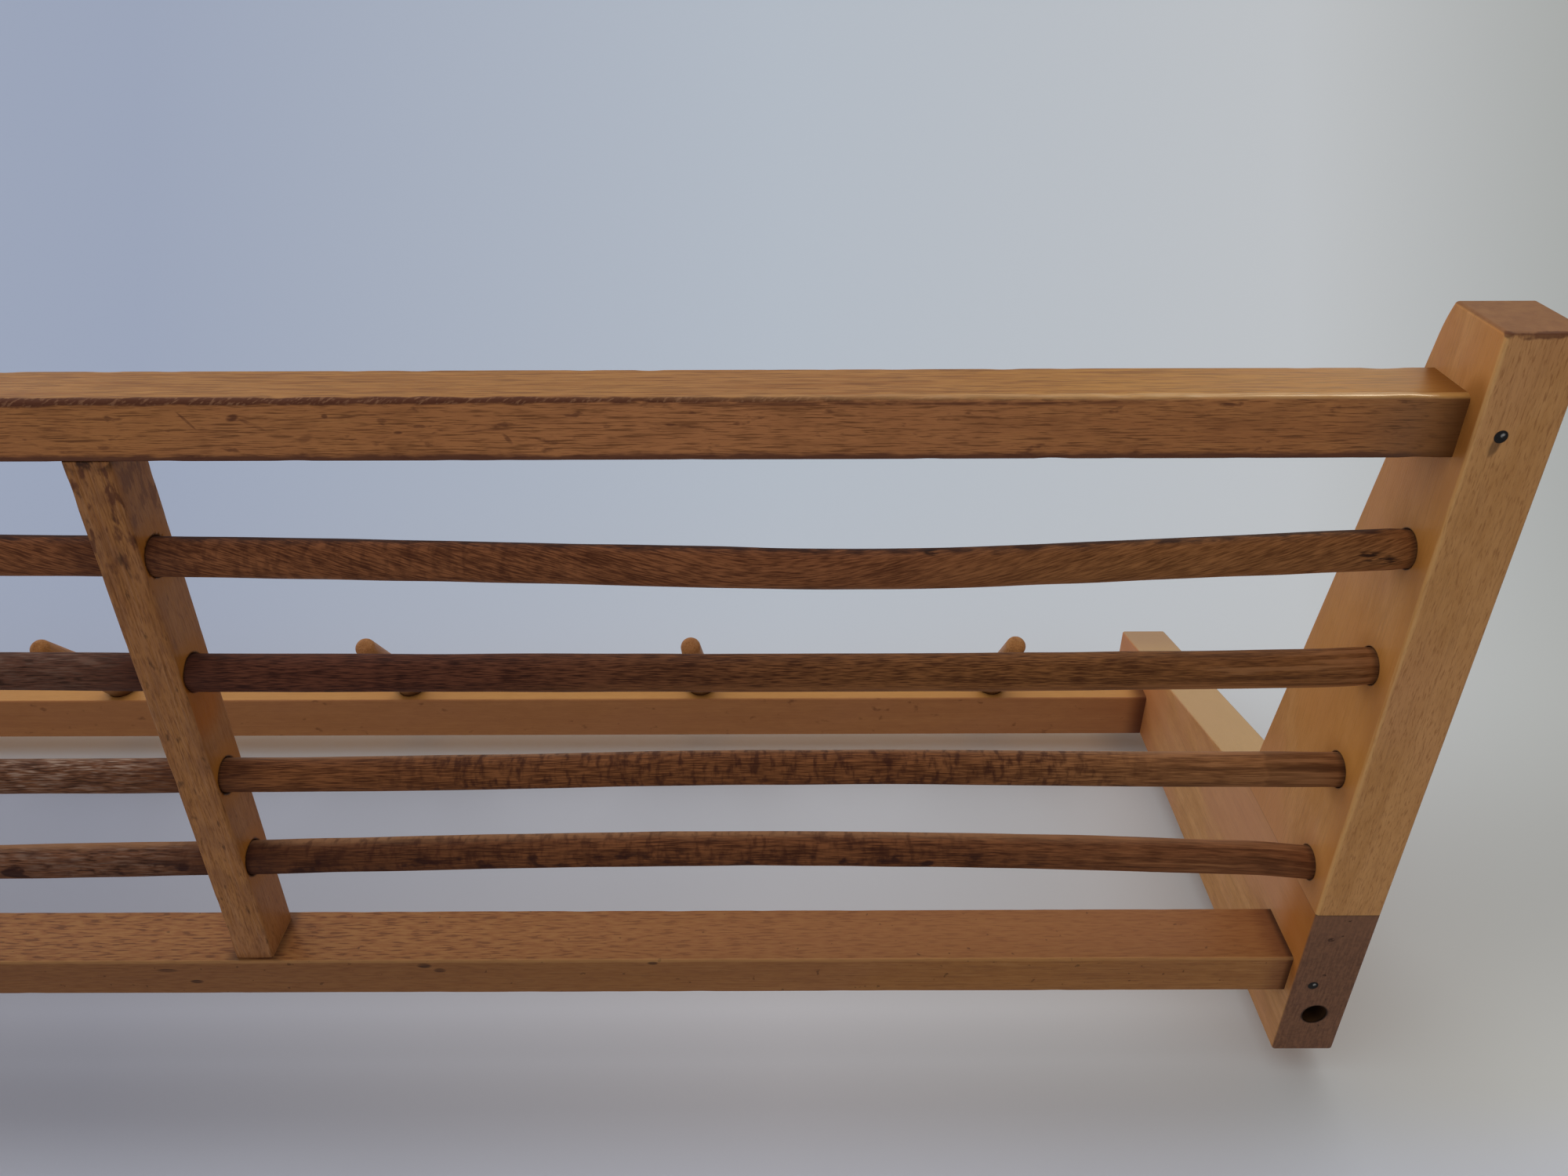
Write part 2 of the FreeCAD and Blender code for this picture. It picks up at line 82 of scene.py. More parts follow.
def wander(points, waves_per_metre, seed, count=24):
    """Smooth noise about 0, mostly within 1: the sum of plane sine waves with random directions,
    lengths near the given one and phases, over the square root of twice their count."""
    draw = np.random.default_rng(seed)
    turns = draw.normal(size=(count, 3))
    turns *= waves_per_metre * draw.uniform(0.6, 1.4, (count, 1)) / np.linalg.norm(turns, axis=1)[:, None]
    phases = draw.uniform(0, 2 * math.pi, count)
    total = np.sin(2 * math.pi * (points @ turns.T) + phases).sum(axis=-1)
    return total / math.sqrt(2 * count)


def smooth_line(at, knots):
    """A cubic through knots (place, value): at each knot the slope is that of the chord past it."""
    places, values = np.array(knots, float).T
    slopes = np.gradient(values, places)
    k = np.clip(np.searchsorted(places, at) - 1, 0, len(places) - 2)
    step = places[k + 1] - places[k]
    t = np.clip((at - places[k]) / step, 0, 1)
    rise = t * t * (3 - 2 * t)
    start = t * (1 - t) ** 2 * step * slopes[k]
    end = -t * t * (1 - t) * step * slopes[k + 1]
    return values[k] + (values[k + 1] - values[k]) * rise + start + end


# Surfaces

SHARP_EDGE = math.radians(40)
ARC_STEPS = 7
SIDE_STEPS = 9
TENON_EASE = 0.3 * MM
SWELL = 0.05 * MM
SWELL_WAVES = 9
WEAR_WAVES = 60
WEAR_STRETCH = (1, 4, 4)


def put(name, data):
    """A new object in the scene."""
    thing = bpy.data.objects.new(name, data)
    bpy.context.scene.collection.objects.link(thing)
    return thing


def surface(name, rings):
    """A closed skin over rings of points (ring, place round it, 3): quads between neighbouring rings,
    and a fan about the middle of the first and the last ring. The map girth holds the share of the way
    along and of the turn round."""
    count, around = rings.shape[:2]
    points = np.concatenate([rings.reshape(-1, 3), rings[[0, -1]].mean(axis=1)])
    ring = np.arange(count - 1)[:, None] * around
    place = np.arange(around)[None, :]
    onward = (place + 1) % around
    quads = np.stack([ring + place, ring + onward, ring + onward + around, ring + place + around], axis=-1)
    first, last = len(points) - 2, len(points) - 1
    end = (count - 1) * around
    place, onward = place[0], onward[0]
    opening = np.stack([np.full(around, first), onward, place], axis=-1)
    closing = np.stack([np.full(around, last), end + place, end + onward], axis=-1)
    mesh = bpy.data.meshes.new(name)
    faces = quads.reshape(-1, 4).tolist() + opening.tolist() + closing.tolist()
    mesh.from_pydata(points.tolist(), [], faces)
    share, turn = np.meshgrid(np.arange(count - 1), np.arange(around), indexing="ij")
    steps = np.array([(0, 0), (0, 1), (1, 1), (1, 0)])
    sides = np.stack([share[..., None] + steps[:, 0], turn[..., None] + steps[:, 1]], axis=-1)
    sides = sides.reshape(-1, 2) / (count - 1, around)
    caps = np.zeros((6 * around, 2))
    caps[3 * around:, 0] = 1
    girth = mesh.uv_layers.new(name="girth")
    girth.data.foreach_set("uv", np.concatenate([sides, caps]).ravel())
    mesh.shade_smooth()
    mesh.set_sharp_from_angle(angle=SHARP_EDGE)
    mesh.update()
    return put(name, mesh)


def stand_for(piece, node, material):
    """Put a piece in the place of a solid, with its finish."""
    piece.data.materials.append(material)
    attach(piece, "root")
    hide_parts(node)


def rounded_section(wide, tall, radii):
    """Rings of a rectangle with rounded corners, one per station: at each corner a quarter arc, then a
    straight side to the next. Gives the points, their outward directions and 1 on arcs, 0 on sides."""
    turn = np.linspace(0, math.pi / 2, ARC_STEPS)
    along_side = np.linspace(0, 1, SIDE_STEPS + 2)[1:-1]
    half = np.stack([wide, tall], axis=-1) / 2
    arcs, outs = [], []
    for corner, sign in enumerate(((1, 1), (-1, 1), (-1, -1), (1, -1))):
        angles = turn + corner * math.pi / 2
        out = np.stack([np.cos(angles), np.sin(angles)], axis=-1)
        radius = radii[:, corner]
        arcs.append((np.array(sign) * (half - radius[:, None]))[:, None] + radius[:, None, None] * out)
        outs.append(np.broadcast_to(out, arcs[-1].shape))
    points, directions = [], []
    for corner in range(4):
        here, there = arcs[corner], arcs[(corner + 1) % 4]
        side = here[:, -1:] + (there[:, :1] - here[:, -1:]) * along_side[:, None]
        points += [here, side]
        directions += [outs[corner], np.broadcast_to(outs[corner][:, -1:], side.shape)]
    arc = np.tile(np.repeat([1.0, 0.0], [ARC_STEPS, SIDE_STEPS]), 4)
    return np.concatenate(points, axis=1), np.concatenate(directions, axis=1), arc


def bar_rings(ends, shoulder, stations, section, tenon_inset, radii, seed, wear):
    """A bar with stub tenons, along its first axis: stations from shoulder to shoulder, each a rounded
    section, and outside them the tenon's section, smaller by the inset. The surface swells and dips by
    a twentieth of a millimetre, and its corners lose up to the wear depth, both by smooth noise."""
    inside = np.linspace(-shoulder, shoulder, stations)
    along = np.concatenate([[-ends, -shoulder], inside, [shoulder, ends]])
    tenon = np.abs(along) >= shoulder
    # The two rings that close the shoulders keep the full section.
    tenon[[2, -3]] = False
    wide = np.where(tenon, section[0] - 2 * tenon_inset, section[0])
    tall = np.where(tenon, section[1] - 2 * tenon_inset, section[1])
    radii = np.where(tenon[:, None], TENON_EASE, np.array(radii)[None, :])
    across, out, arc = rounded_section(wide, tall, radii)
    station = np.broadcast_to(along[:, None, None], across.shape[:2] + (1,))
    spots = np.concatenate([station, across], axis=-1)
    swell = SWELL * wander(spots, SWELL_WAVES, seed)
    rub = wear * arc * np.clip(wander(spots * WEAR_STRETCH, WEAR_WAVES, seed + 1) - 0.2, 0, 1.5)
    move = np.where(tenon[:, None], 0, swell - rub)
    return np.concatenate([spots[..., :1], across + out * move[..., None]], axis=-1)


# Shelf dowels: round rods that have bent since they were fitted

# How far each rod has bent towards the wall at places along X, both in millimetres; at the arms it hasn't
DOWEL_BEND = {
    FRONT_DOWEL: (
        (-358, 1.0), (-325, 2.5), (-275, 4.9), (-240, 6.3), (-212, 6.5), (-160, 5.2), (-93, 3.3), (0, 1.2),
        (130, 0.4), (260, 0.8),
    ),
    SECOND_DOWEL: (
        (-370, 0.7), (-345, 1.2), (-290, 1.8), (-220, 2.1), (-120, 1.8), (-20, 1.4), (50, 0.5), (190, 0.9),
    ),
    THIRD_DOWEL: (
        (-310, -0.5), (-220, -1.7), (-165, -1.5), (-110, -0.3), (0, 1.0), (120, 1.1), (260, -0.6),
    ),
    WALL_DOWEL: (
        (-363, -2.0), (-348, -2.7), (-309, -4.6), (-250, -6.5), (-185, -7.5), (-95, -6.4), (-16, -4.3),
        (62, -2.5), (160, -0.9), (270, 0.6),
    ),
}
# How much each rod's radius differs from the solid's
DOWEL_EXTRA = {
    FRONT_DOWEL: 0.27 * MM,
    SECOND_DOWEL: 0.20 * MM,
    THIRD_DOWEL: -0.08 * MM,
    WALL_DOWEL: 0.05 * MM,
}
DOWEL_RADIUS = (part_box("shelf_dowel_1")[1].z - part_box("shelf_dowel_1")[0].z) / 2
DOWEL_STATIONS = 420
DOWEL_AROUND = 48
DOWEL_CHAMFER = 0.8 * MM
DOWEL_CLEARANCE = 0.05 * MM
DOWEL_UNEVEN = 0.09 * MM
UNEVEN_WAVES = 16
DOWEL_GROOVES = 0.07 * MM
GROOVE_WAVES = 260
GROOVE_STRETCH = (0.12, 1, 1)
DOWEL_FREE = 5 * MM


def dowel_place(number):
    """The middle of the solid's section: Y and Z."""
    low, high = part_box(f"shelf_dowel_{number}")
    return (low.y + high.y) / 2, (low.z + high.z) / 2


def dowel_middle(number, along):
    """The rod's middle line, Y and Z at places along X: the solid's, plus its bend towards the wall."""
    middle_y, middle_z = dowel_place(number)
    arm = HALF_INSIDE / MM
    bend = smooth_line(along / MM, ((-arm, 0), *DOWEL_BEND[number], (arm, 0)))
    return middle_y + bend * MM, np.full_like(along, middle_z)


def circles(along, middle, radius):
    """Rings round a line along X, given its Y and Z at each place along it."""
    turn = np.linspace(0, 2 * math.pi, DOWEL_AROUND, endpoint=False)
    y = middle[0][:, None] + radius * np.cos(turn)
    z = middle[1][:, None] + radius * np.sin(turn)
    return np.stack(np.broadcast_arrays(along[:, None], y, z), axis=-1)


def shelf_dowel(number):
    """A rod: circles along its bent middle line, their radius a little off the solid's and uneven by
    smooth noise, with lengthwise grooves that come and go, and a chamfer at each end. In the arms the
    radius is the solid's less a clearance; past a free stretch it is the rod's own."""
    low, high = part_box(f"shelf_dowel_{number}")
    body = np.linspace(low.x + DOWEL_CHAMFER, high.x - DOWEL_CHAMFER, DOWEL_STATIONS)
    along = np.concatenate([[low.x], body, [high.x]])
    straight = circles(along, np.zeros((2, len(along))), DOWEL_RADIUS)
    free = np.clip((HALF_INSIDE - np.abs(along[:, None])) / DOWEL_FREE, 0, 1)
    uneven = DOWEL_UNEVEN * wander(straight, UNEVEN_WAVES, 40 + number)
    grooves = DOWEL_GROOVES * wander(straight * GROOVE_STRETCH, GROOVE_WAVES, 60 + number)
    radius = DOWEL_RADIUS - DOWEL_CLEARANCE + (uneven + grooves + DOWEL_EXTRA[number]) * free
    radius[[0, -1]] -= DOWEL_CHAMFER
    return surface(f"bent_dowel_{number}", circles(along, dowel_middle(number, along), radius))


# Rails and centre support

TENON_INSET = 3 * MM
RAIL_EASE = 0.8 * MM
RAIL_NOSE = 2 * MM
SUPPORT_EASE = 1.0 * MM
SUPPORT_TENON = 8 * MM
SUPPORT_INSET = 2.5 * MM
SUPPORT_WEAR = 0.2 * MM
# The support stands a little off the rack's middle
SUPPORT_SHIFT = 0.8 * MM
BORE_CLEARANCE = 0.4 * MM
FRONT_RAIL_WEAR = 0.3 * MM
BACK_RAIL_WEAR = 0.15 * MM
BACK_RAIL_GROWTH = ((0, -1.4), (-0.6, 2.0))
BACK_RAIL_TOP = RAIL_TOP + BACK_RAIL_GROWTH[1][1] * MM
RAIL_STATIONS = 360
SUPPORT_STATIONS = 160


def shelf_rail(node, nose, seed, wear, growth=((0, 0), (0, 0))):
    """A rail along X, its top front corner rounded to the nose radius. Growth moves the sides of its
    section along Y and along Z, in millimetres."""
    low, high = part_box(node)
    sides = np.array([(low.y, high.y), (low.z, high.z)]) + np.array(growth) * MM
    radii = (RAIL_EASE, nose, RAIL_EASE, RAIL_EASE)
    section = sides[:, 1] - sides[:, 0]
    rings = bar_rings(high.x, HALF_INSIDE, RAIL_STATIONS, section, TENON_INSET, radii, seed, wear)
    rings[..., 1:] += sides.mean(axis=1)
    return surface(f"worn_{node}", rings)


def centre_support():
    """A bar along Y from back rail to front rail, bored where the bent dowels pass."""
    low, high = SUPPORT_LOW, SUPPORT_HIGH
    section = (high.z - low.z, high.x - low.x)
    half = (high.y - low.y) / 2
    radii = (SUPPORT_EASE,) * 4
    shoulder = half - SUPPORT_TENON
    rings = bar_rings(half, shoulder, SUPPORT_STATIONS, section, SUPPORT_INSET, radii, 31, SUPPORT_WEAR)
    along, up, across = np.moveaxis(rings, -1, 0)
    middle_y, middle_z = (low.y + high.y) / 2, (low.z + high.z) / 2
    rings = np.stack([across + SUPPORT_SHIFT, middle_y + along, middle_z + up], axis=-1)
    support = surface("bored_support", rings)
    for number in DOWELS:
        cut_bore(support, number)
    return support


def cut_bore(support, number):
    """Take the dowel's passage out of the support: a tube along the dowel's middle line."""
    along = np.linspace(-2, 2, 5) * (SUPPORT_HIGH.x - SUPPORT_LOW.x)
    rings = circles(along, dowel_middle(number, along), DOWEL_RADIUS + BORE_CLEARANCE)
    tool = surface(f"bore_tool_{number}", rings)
    cut = support.modifiers.new("bore", "BOOLEAN")
    cut.operation = "DIFFERENCE"
    cut.solver = "EXACT"
    cut.object = tool
    scene_state = bpy.context.evaluated_depsgraph_get()
    mesh = bpy.data.meshes.new_from_object(support.evaluated_get(scene_state))
    support.modifiers.remove(cut)
    support.data = mesh
    bpy.data.objects.remove(tool)


# Shader expressions

class Signal:
    """A socket of a material's node tree. Arithmetic on it adds Math nodes; add() makes any other node."""

    def __init__(self, tree, socket=None):
        self.tree = tree
        self.socket = socket

    def add(self, kind, settings=None, inputs=None, output=0):
        """A new node: its settings first, then the values or links of its sockets."""
        node = self.tree.nodes.new(kind)
        for name, value in (settings or {}).items():
            setattr(node, name, value)
        for key, value in (inputs or {}).items():
            if isinstance(value, Signal):
                self.tree.links.new(value.socket, node.inputs[key])
            else:
                node.inputs[key].default_value = value
        return Signal(self.tree, node.outputs[output] if len(node.outputs) else None)

    def math(self, operation, *values):
        """A Math node on numbers and signals."""
        return self.add("ShaderNodeMath", {"operation": operation}, dict(enumerate(values)))

    def __add__(self, other):
        return self.math("ADD", self, other)

    def __sub__(self, other):
        return self.math("SUBTRACT", self, other)

    def __rsub__(self, other):
        return self.math("SUBTRACT", other, self)

    def __mul__(self, other):
        return self.math("MULTIPLY", self, other)

    def __truediv__(self, other):
        return self.math("DIVIDE", self, other)

    def __rtruediv__(self, other):
        return self.math("DIVIDE", other, self)

    def __abs__(self):
        return self.math("ABSOLUTE", self)

    __radd__ = __add__
    __rmul__ = __mul__

    def root(self):
        return self.math("SQRT", self)

    def larger(self, other):
        return self.math("MAXIMUM", self, other)

    def smaller(self, other):
        return self.math("MINIMUM", self, other)

    def rise(self, low, high):
        """0 below low, 1 above high, smooth between; the other way round if high is the lower one."""
        settings = {"interpolation_type": "SMOOTHSTEP"}
        return self.add("ShaderNodeMapRange", settings, {0: self, 1: low, 2: high, 3: 0.0, 4: 1.0})

    def rise_at(self, place, start, end):
        """A rise between two distances from a place, in millimetres."""
        return self.rise(place + start * MM, place + end * MM)

    def ramp(self, low, high):
        """0 below low, 1 above high, straight between; the other way round if high is the lower one."""
        return self.add("ShaderNodeMapRange", inputs={0: self, 1: low, 2: high, 3: 0.0, 4: 1.0})

    def near(self, place, reach):
        """1 at a place, falling smoothly to 0 at a reach on either side."""
        return abs(self - place).rise(reach, 0.0)

    def mix(self, first, second):
        """The first colour where this is 0, the second where it is 1: sockets 6 and 7 of a Mix node."""
        settings = {"data_type": "RGBA"}
        return self.add("ShaderNodeMix", settings, {0: self, 6: first, 7: second}, output=2)

    def together(self, second, third):
        """A vector with this as its X."""
        return self.add("ShaderNodeCombineXYZ", inputs={0: self, 1: second, 2: third})


def rgb(red, green, blue):
    return (red, green, blue, 1.0)


def away(first, second, middle):
    """How far a point is from a middle, on two axes."""
    across = first - middle[0]
    up = second - middle[1]
    return (across * across + up * up).root()


def oval(first, second, middle, half, turn=0.0):
    """1 inside an oval on two axes, soft at its rim: middle and half sizes in millimetres, turn in
    degrees."""
    across = first - middle[0] * MM
    up = second - middle[1] * MM
    cos, sin = math.cos(math.radians(turn)), math.sin(math.radians(turn))
    long = (across * cos + up * sin) / (half[0] * MM)
    short = (up * cos - across * sin) / (half[1] * MM)
    return (long * long + short * short).rise(1.0, 0.2)


# How far a seed moves a noise, as a shift does, and the metres of a shift along each axis
SEED_STEP = 1.7
SHIFT_STEPS = (0.031, 0.053, 0.077)
BUMP_DEPTH = 0.3 * MM


class Paint:
    """A surface while it is painted: where it is, its colour, roughness and height so far."""

    def __init__(self, name, along="x", seed=0):
        self.material = bpy.data.materials.new(name)
        self.material.use_nodes = True
        self.tree = self.material.node_tree
        self.tree.nodes.clear()
        self.place = Signal(self.tree).add("ShaderNodeTexCoord", output="Object")
        self.x, self.y, self.z = (
            self.place.add("ShaderNodeSeparateXYZ", inputs={0: self.place}, output=axis)
            for axis in range(3)
        )
        self.along = along
        self.seed = seed
        self.color = None
        self.roughness = None
        self.height = None
        self.coat = None

    def grain(
        self, lengthwise, crosswise, detail=2.0, distortion=0.0, shift=0.0, turn=(0, 0, 0), place=None
    ):
        """Noise drawn out along the grain: so many turns to the metre along it, and across it."""
        scale = [1 / crosswise] * 3
        scale["xyz".index(self.along)] = 1 / lengthwise
        offset = tuple((self.seed * SEED_STEP + shift) * step for step in SHIFT_STEPS)
        inputs = {"Vector": place or self.place, "Location": offset, "Rotation": turn, "Scale": scale}
        mapped = self.place.add("ShaderNodeMapping", {"vector_type": "TEXTURE"}, inputs)
        inputs = {"Vector": mapped, "Scale": 1.0, "Detail": detail, "Distortion": distortion}
        return self.place.add("ShaderNodeTexNoise", inputs=inputs)

    def spots(self, size, share, shift=0.0):
        """Round spots of about a size in metres: where a noise is above a level."""
        return self.grain(0.6 / size, 0.6 / size, detail=1.5, shift=shift).rise(share, share + 0.06)

    def top_face(self, height, start, end):
        """1 at a top face of a height, 0 under it; the rise is between two depths in millimetres."""
        return self.z.rise_at(height, -start, -end)

    def by_arms(self, start, end):
        """1 next to both arms, 0 away from them; the rise is between two distances in millimetres."""
        return abs(self.x).rise_at(HALF_INSIDE, -start, -end)

    def by_support(self, start, end):
        """1 at the centre support, 0 away from it; the rise is between two distances from its middle."""
        return abs(self.x - SUPPORT_SHIFT).rise(start * MM, end * MM)

    def stain(self, mask, color):
        """Lay a colour over the one so far, as strongly as the mask says."""
        self.color = mask.mix(self.color, color)

    def finish(self, coat=0.05, coat_roughness=0.25, specular=0.1, bump=0.35, metallic=0.0):
        """The shader: a satin varnish over the painted surface."""
        normal = self.place.add("ShaderNodeBump", inputs={
            "Strength": bump, "Distance": BUMP_DEPTH, "Height": self.height,
        })
        shader = self.place.add("ShaderNodeBsdfPrincipled", inputs={
            "Base Color": self.color, "Roughness": self.roughness, "Metallic": metallic, "Normal": normal,
            "Coat Weight": self.coat or coat, "Coat Roughness": coat_roughness,
            "Specular IOR Level": specular,
        })
        self.place.add("ShaderNodeOutputMaterial", inputs={"Surface": shader})
        return self.material


# Beech

HONEY = rgb(0.50, 0.225, 0.068)
BROWN = rgb(0.36, 0.142, 0.040)
ROSE = rgb(0.43, 0.185, 0.075)
PALE_HONEY = rgb(0.68, 0.345, 0.132)
PALE_ROSE = rgb(0.61, 0.290, 0.140)
STRAW = rgb(0.80, 0.46, 0.18)
FLECK = rgb(0.17, 0.062, 0.022)
# Near black brown: grime, and painted shade at the peg feet and where parts meet
GRIME_AND_SHADE = rgb(0.040, 0.017, 0.010)
RUST_RED = rgb(0.11, 0.034, 0.018)
# Amber painted as a reflection in the varnish
REFLECTED_AMBER = rgb(0.40, 0.145, 0.020)
END_GRAIN = rgb(0.22, 0.105, 0.062)
SLANTED = (0, math.radians(-24), math.radians(26))


def beech(name, along, seed, fleck=(2.2, 0.4), turn=(0, 0, 0), pale=False, coarse=1.0):
    """Varnished beech: faint bands, a drift in tone, a mottle, fine fibres and pores drawn out along the
    grain. Its ray flecks, of a length and width in millimetres, wait in fleck_mask. Pale wood has lighter
    tones, and coarse wood stronger fibres and pores."""
    wood = Paint(name, along, seed)
    bands = wood.grain(3, 90, detail=3, distortion=0.6, turn=turn)
    drift = wood.grain(14, 22, detail=2, shift=4, turn=turn)
    mottle = wood.grain(110, 300, detail=4, shift=5, turn=turn)
    wood.fibres = wood.grain(45, 1400, detail=4, shift=2, turn=turn)
    pores = wood.grain(230, 2300, detail=2, shift=3, turn=turn)
    flecked = wood.grain(0.5 / (fleck[0] * MM), 0.5 / (fleck[1] * MM), detail=2, shift=6, turn=turn)
    wood.fleck_mask = flecked.rise(0.52, 0.72)
    light, shade, warm = (PALE_HONEY, HONEY, PALE_ROSE) if pale else (HONEY, BROWN, ROSE)
    wood.color = (bands * 0.6 + mottle * 0.4).rise(0.3, 0.7).mix(shade, light)
    wood.stain(drift.rise(0.45, 0.7) * 0.5, warm)
    wood.stain(drift.rise(0.45, 0.25) * 0.4, shade)
    wood.stain(wood.fibres.rise(0.5, 0.25) * (0.45 * coarse), FLECK)
    wood.stain(wood.fibres.rise(0.52, 0.8) * (0.25 * coarse), STRAW)
    wood.stain(pores.rise(0.5, 0.75) * (0.4 * coarse), FLECK)
    wood.roughness = 0.36 + wood.fibres * 0.16
    wood.height = wood.fibres * 0.4 - pores.rise(0.5, 0.75) * 0.3 - wood.fleck_mask * 0.1
    return wood


# Dents and scratches on the front rail: middle and half sizes on X and Y in millimetres, turn, strength
FRONT_RAIL_DENTS = (
    ((-43.7, -259.1), (2.2, 1.2), 20, 0.85),
    ((-48.5, -257.2), (5.0, 0.7), -28, 0.5),
    ((-31.0, -258.2), (4.2, 0.5), -52, 0.6),
    ((-78.0, -259.6), (19.0, 0.35), 4, 0.5),
    ((-115.0, -255.4), (13.0, 0.4), 4, 0.5),
    ((-69.1, -259.5), (1.1, 0.8), 0, 0.7),
    ((-88.4, -254.6), (1.5, 0.6), 0, 0.75),
    ((-118.4, -252.6), (2.4, 0.8), -55, 0.6),
    ((-62.5, -253.0), (3.0, 1.4), 30, 0.35),
    ((-84.5, -258.2), (1.6, 1.1), 0, 0.4),
)


def front_rail_wood():
    """The front rail: golden towards the left arm, a dark rubbed nose with a painted highlight, a red-brown
    line along the back edge, dents and scratches, and ends darkened by painted shade, with a painted amber
    reflection."""
    wood = beech("front_rail_beech", "x", 2, fleck=(2.6, 0.22))
    top = wood.top_face(RAIL_TOP, 1.2, 0.4)
    face = 1.0 - top
    wood.stain(face * 0.4, rgb(0.56, 0.275, 0.080))
    wood.stain(face * wood.x.rise(-0.20, -0.33) * 0.45, rgb(0.58, 0.275, 0.045))
    wood.stain(face * wood.x.rise(-0.29, -0.345) * 0.55, rgb(0.41, 0.160, 0.020))
    wood.stain(face * wood.grain(30, 620, detail=5, shift=18).rise(0.45, 0.68) * 0.8, BROWN)
    wood.stain(face * wood.grain(90, 2000, detail=1, shift=26).rise(0.50, 0.64) * 0.5, FLECK)
    wood.stain(top * wood.x.near(-0.17, 0.17) * 0.5, rgb(0.60, 0.255, 0.105))
    wood.stain(top * 0.4, rgb(0.60, 0.235, 0.095))
    wood.stain(top * wood.grain(110, 2700, detail=2, shift=24).rise(0.53, 0.66) * 0.8, FLECK)
    wood.stain(top * wood.grain(45, 130, detail=4, shift=20).rise(0.5, 0.72) * 0.4, rgb(0.22, 0.080, 0.028))
    wood.stain(wood.fleck_mask * (0.12 + top * 0.4), FLECK)
    ragged = wood.grain(160, 500, detail=3, shift=9)
    hatch = wood.grain(420, 1300, detail=2, shift=12, turn=SLANTED)
    nose = away(wood.y, wood.z, (FRONT_LOW.y, RAIL_TOP))
    reach = wood.x.rise(-0.30, 0.02) * 0.7 * MM + 1.1 * MM + (ragged - 0.5) * 1.6 * MM
    band = (nose - reach).rise(0.35 * MM, -0.35 * MM)
    faded = wood.x.rise(-0.33, -0.16)
    wood.stain(band * (0.4 + 0.55 * faded), RUST_RED)
    wood.stain(band * hatch.rise(0.50, 0.68) * faded * 0.45, rgb(0.42, 0.21, 0.11))
    below = wood.y.near(FRONT_LOW.y + 1.9 * MM, 0.9 * MM) * top * wood.x.rise(-0.10, -0.22)
    wood.stain(below * wood.x.rise(-0.33, -0.25) * ragged.rise(0.25, 0.5) * 0.8, RUST_RED)
    back = away(wood.y, wood.z, (FRONT_HIGH.y, RAIL_TOP))
    wood.stain((back - (ragged - 0.5) * 2.6 * MM).rise(2.8 * MM, 1.1 * MM) * 0.85, rgb(0.10, 0.034, 0.022))
    wood.stain(top * wood.grain(170, 420, detail=3, shift=15).rise(0.62, 0.74) * 0.6, RUST_RED)
    for middle, half, turn, depth in FRONT_RAIL_DENTS:
        dent = oval(wood.x, wood.y, middle, half, turn) * ragged.rise(0.3, 0.55)
        wood.stain(top * dent * depth, RUST_RED)
    # Painted shade darkens the rail towards the arms
    shade_by_arms = wood.by_arms(36, 9)
    wood.stain(shade_by_arms * top * 0.45, rgb(0.09, 0.055, 0.030))
    wood.stain(shade_by_arms * face * 0.4, rgb(0.26, 0.110, 0.020))
    # Right by the arms: a painted amber reflection, and painted shade on the face and the top
    end = wood.by_arms(16, 1)
    wood.stain(end * 0.55, REFLECTED_AMBER)
    wood.stain(end * end * face * 0.8, rgb(0.20, 0.070, 0.012))
    wood.stain(end * end * top * 0.6, GRIME_AND_SHADE)
    shine = wood.y.rise_at(FRONT_LOW.y, 1.3, 0.5) * nose.rise(3.0 * MM, 1.5 * MM)
    shine = shine * wood.x.rise(-0.12, -0.32) * (0.3 + ragged * 1.2)
    wood.stain(shine * 0.5, rgb(0.78, 0.42, 0.12))
    wood.coat = shine * 0.8 + 0.05
    wood.height = wood.height + band * hatch
    wood.roughness = wood.roughness + band * faded * 0.2
    return wood.finish(coat_roughness=0.3)


# Dark spots on top of the back rail: middle and half sizes on X and Y in millimetres
BACK_RAIL_SPOTS = (
    ((-61.8, -43.2), (3.2, 1.5)),
    ((-67.2, -40.7), (2.8, 1.3)),
    ((23.9, -35.1), (3.0, 1.1)),
    ((33.3, -41.1), (4.6, 1.0)),
    ((-146.0, -44.2), (2.4, 1.0)),
)


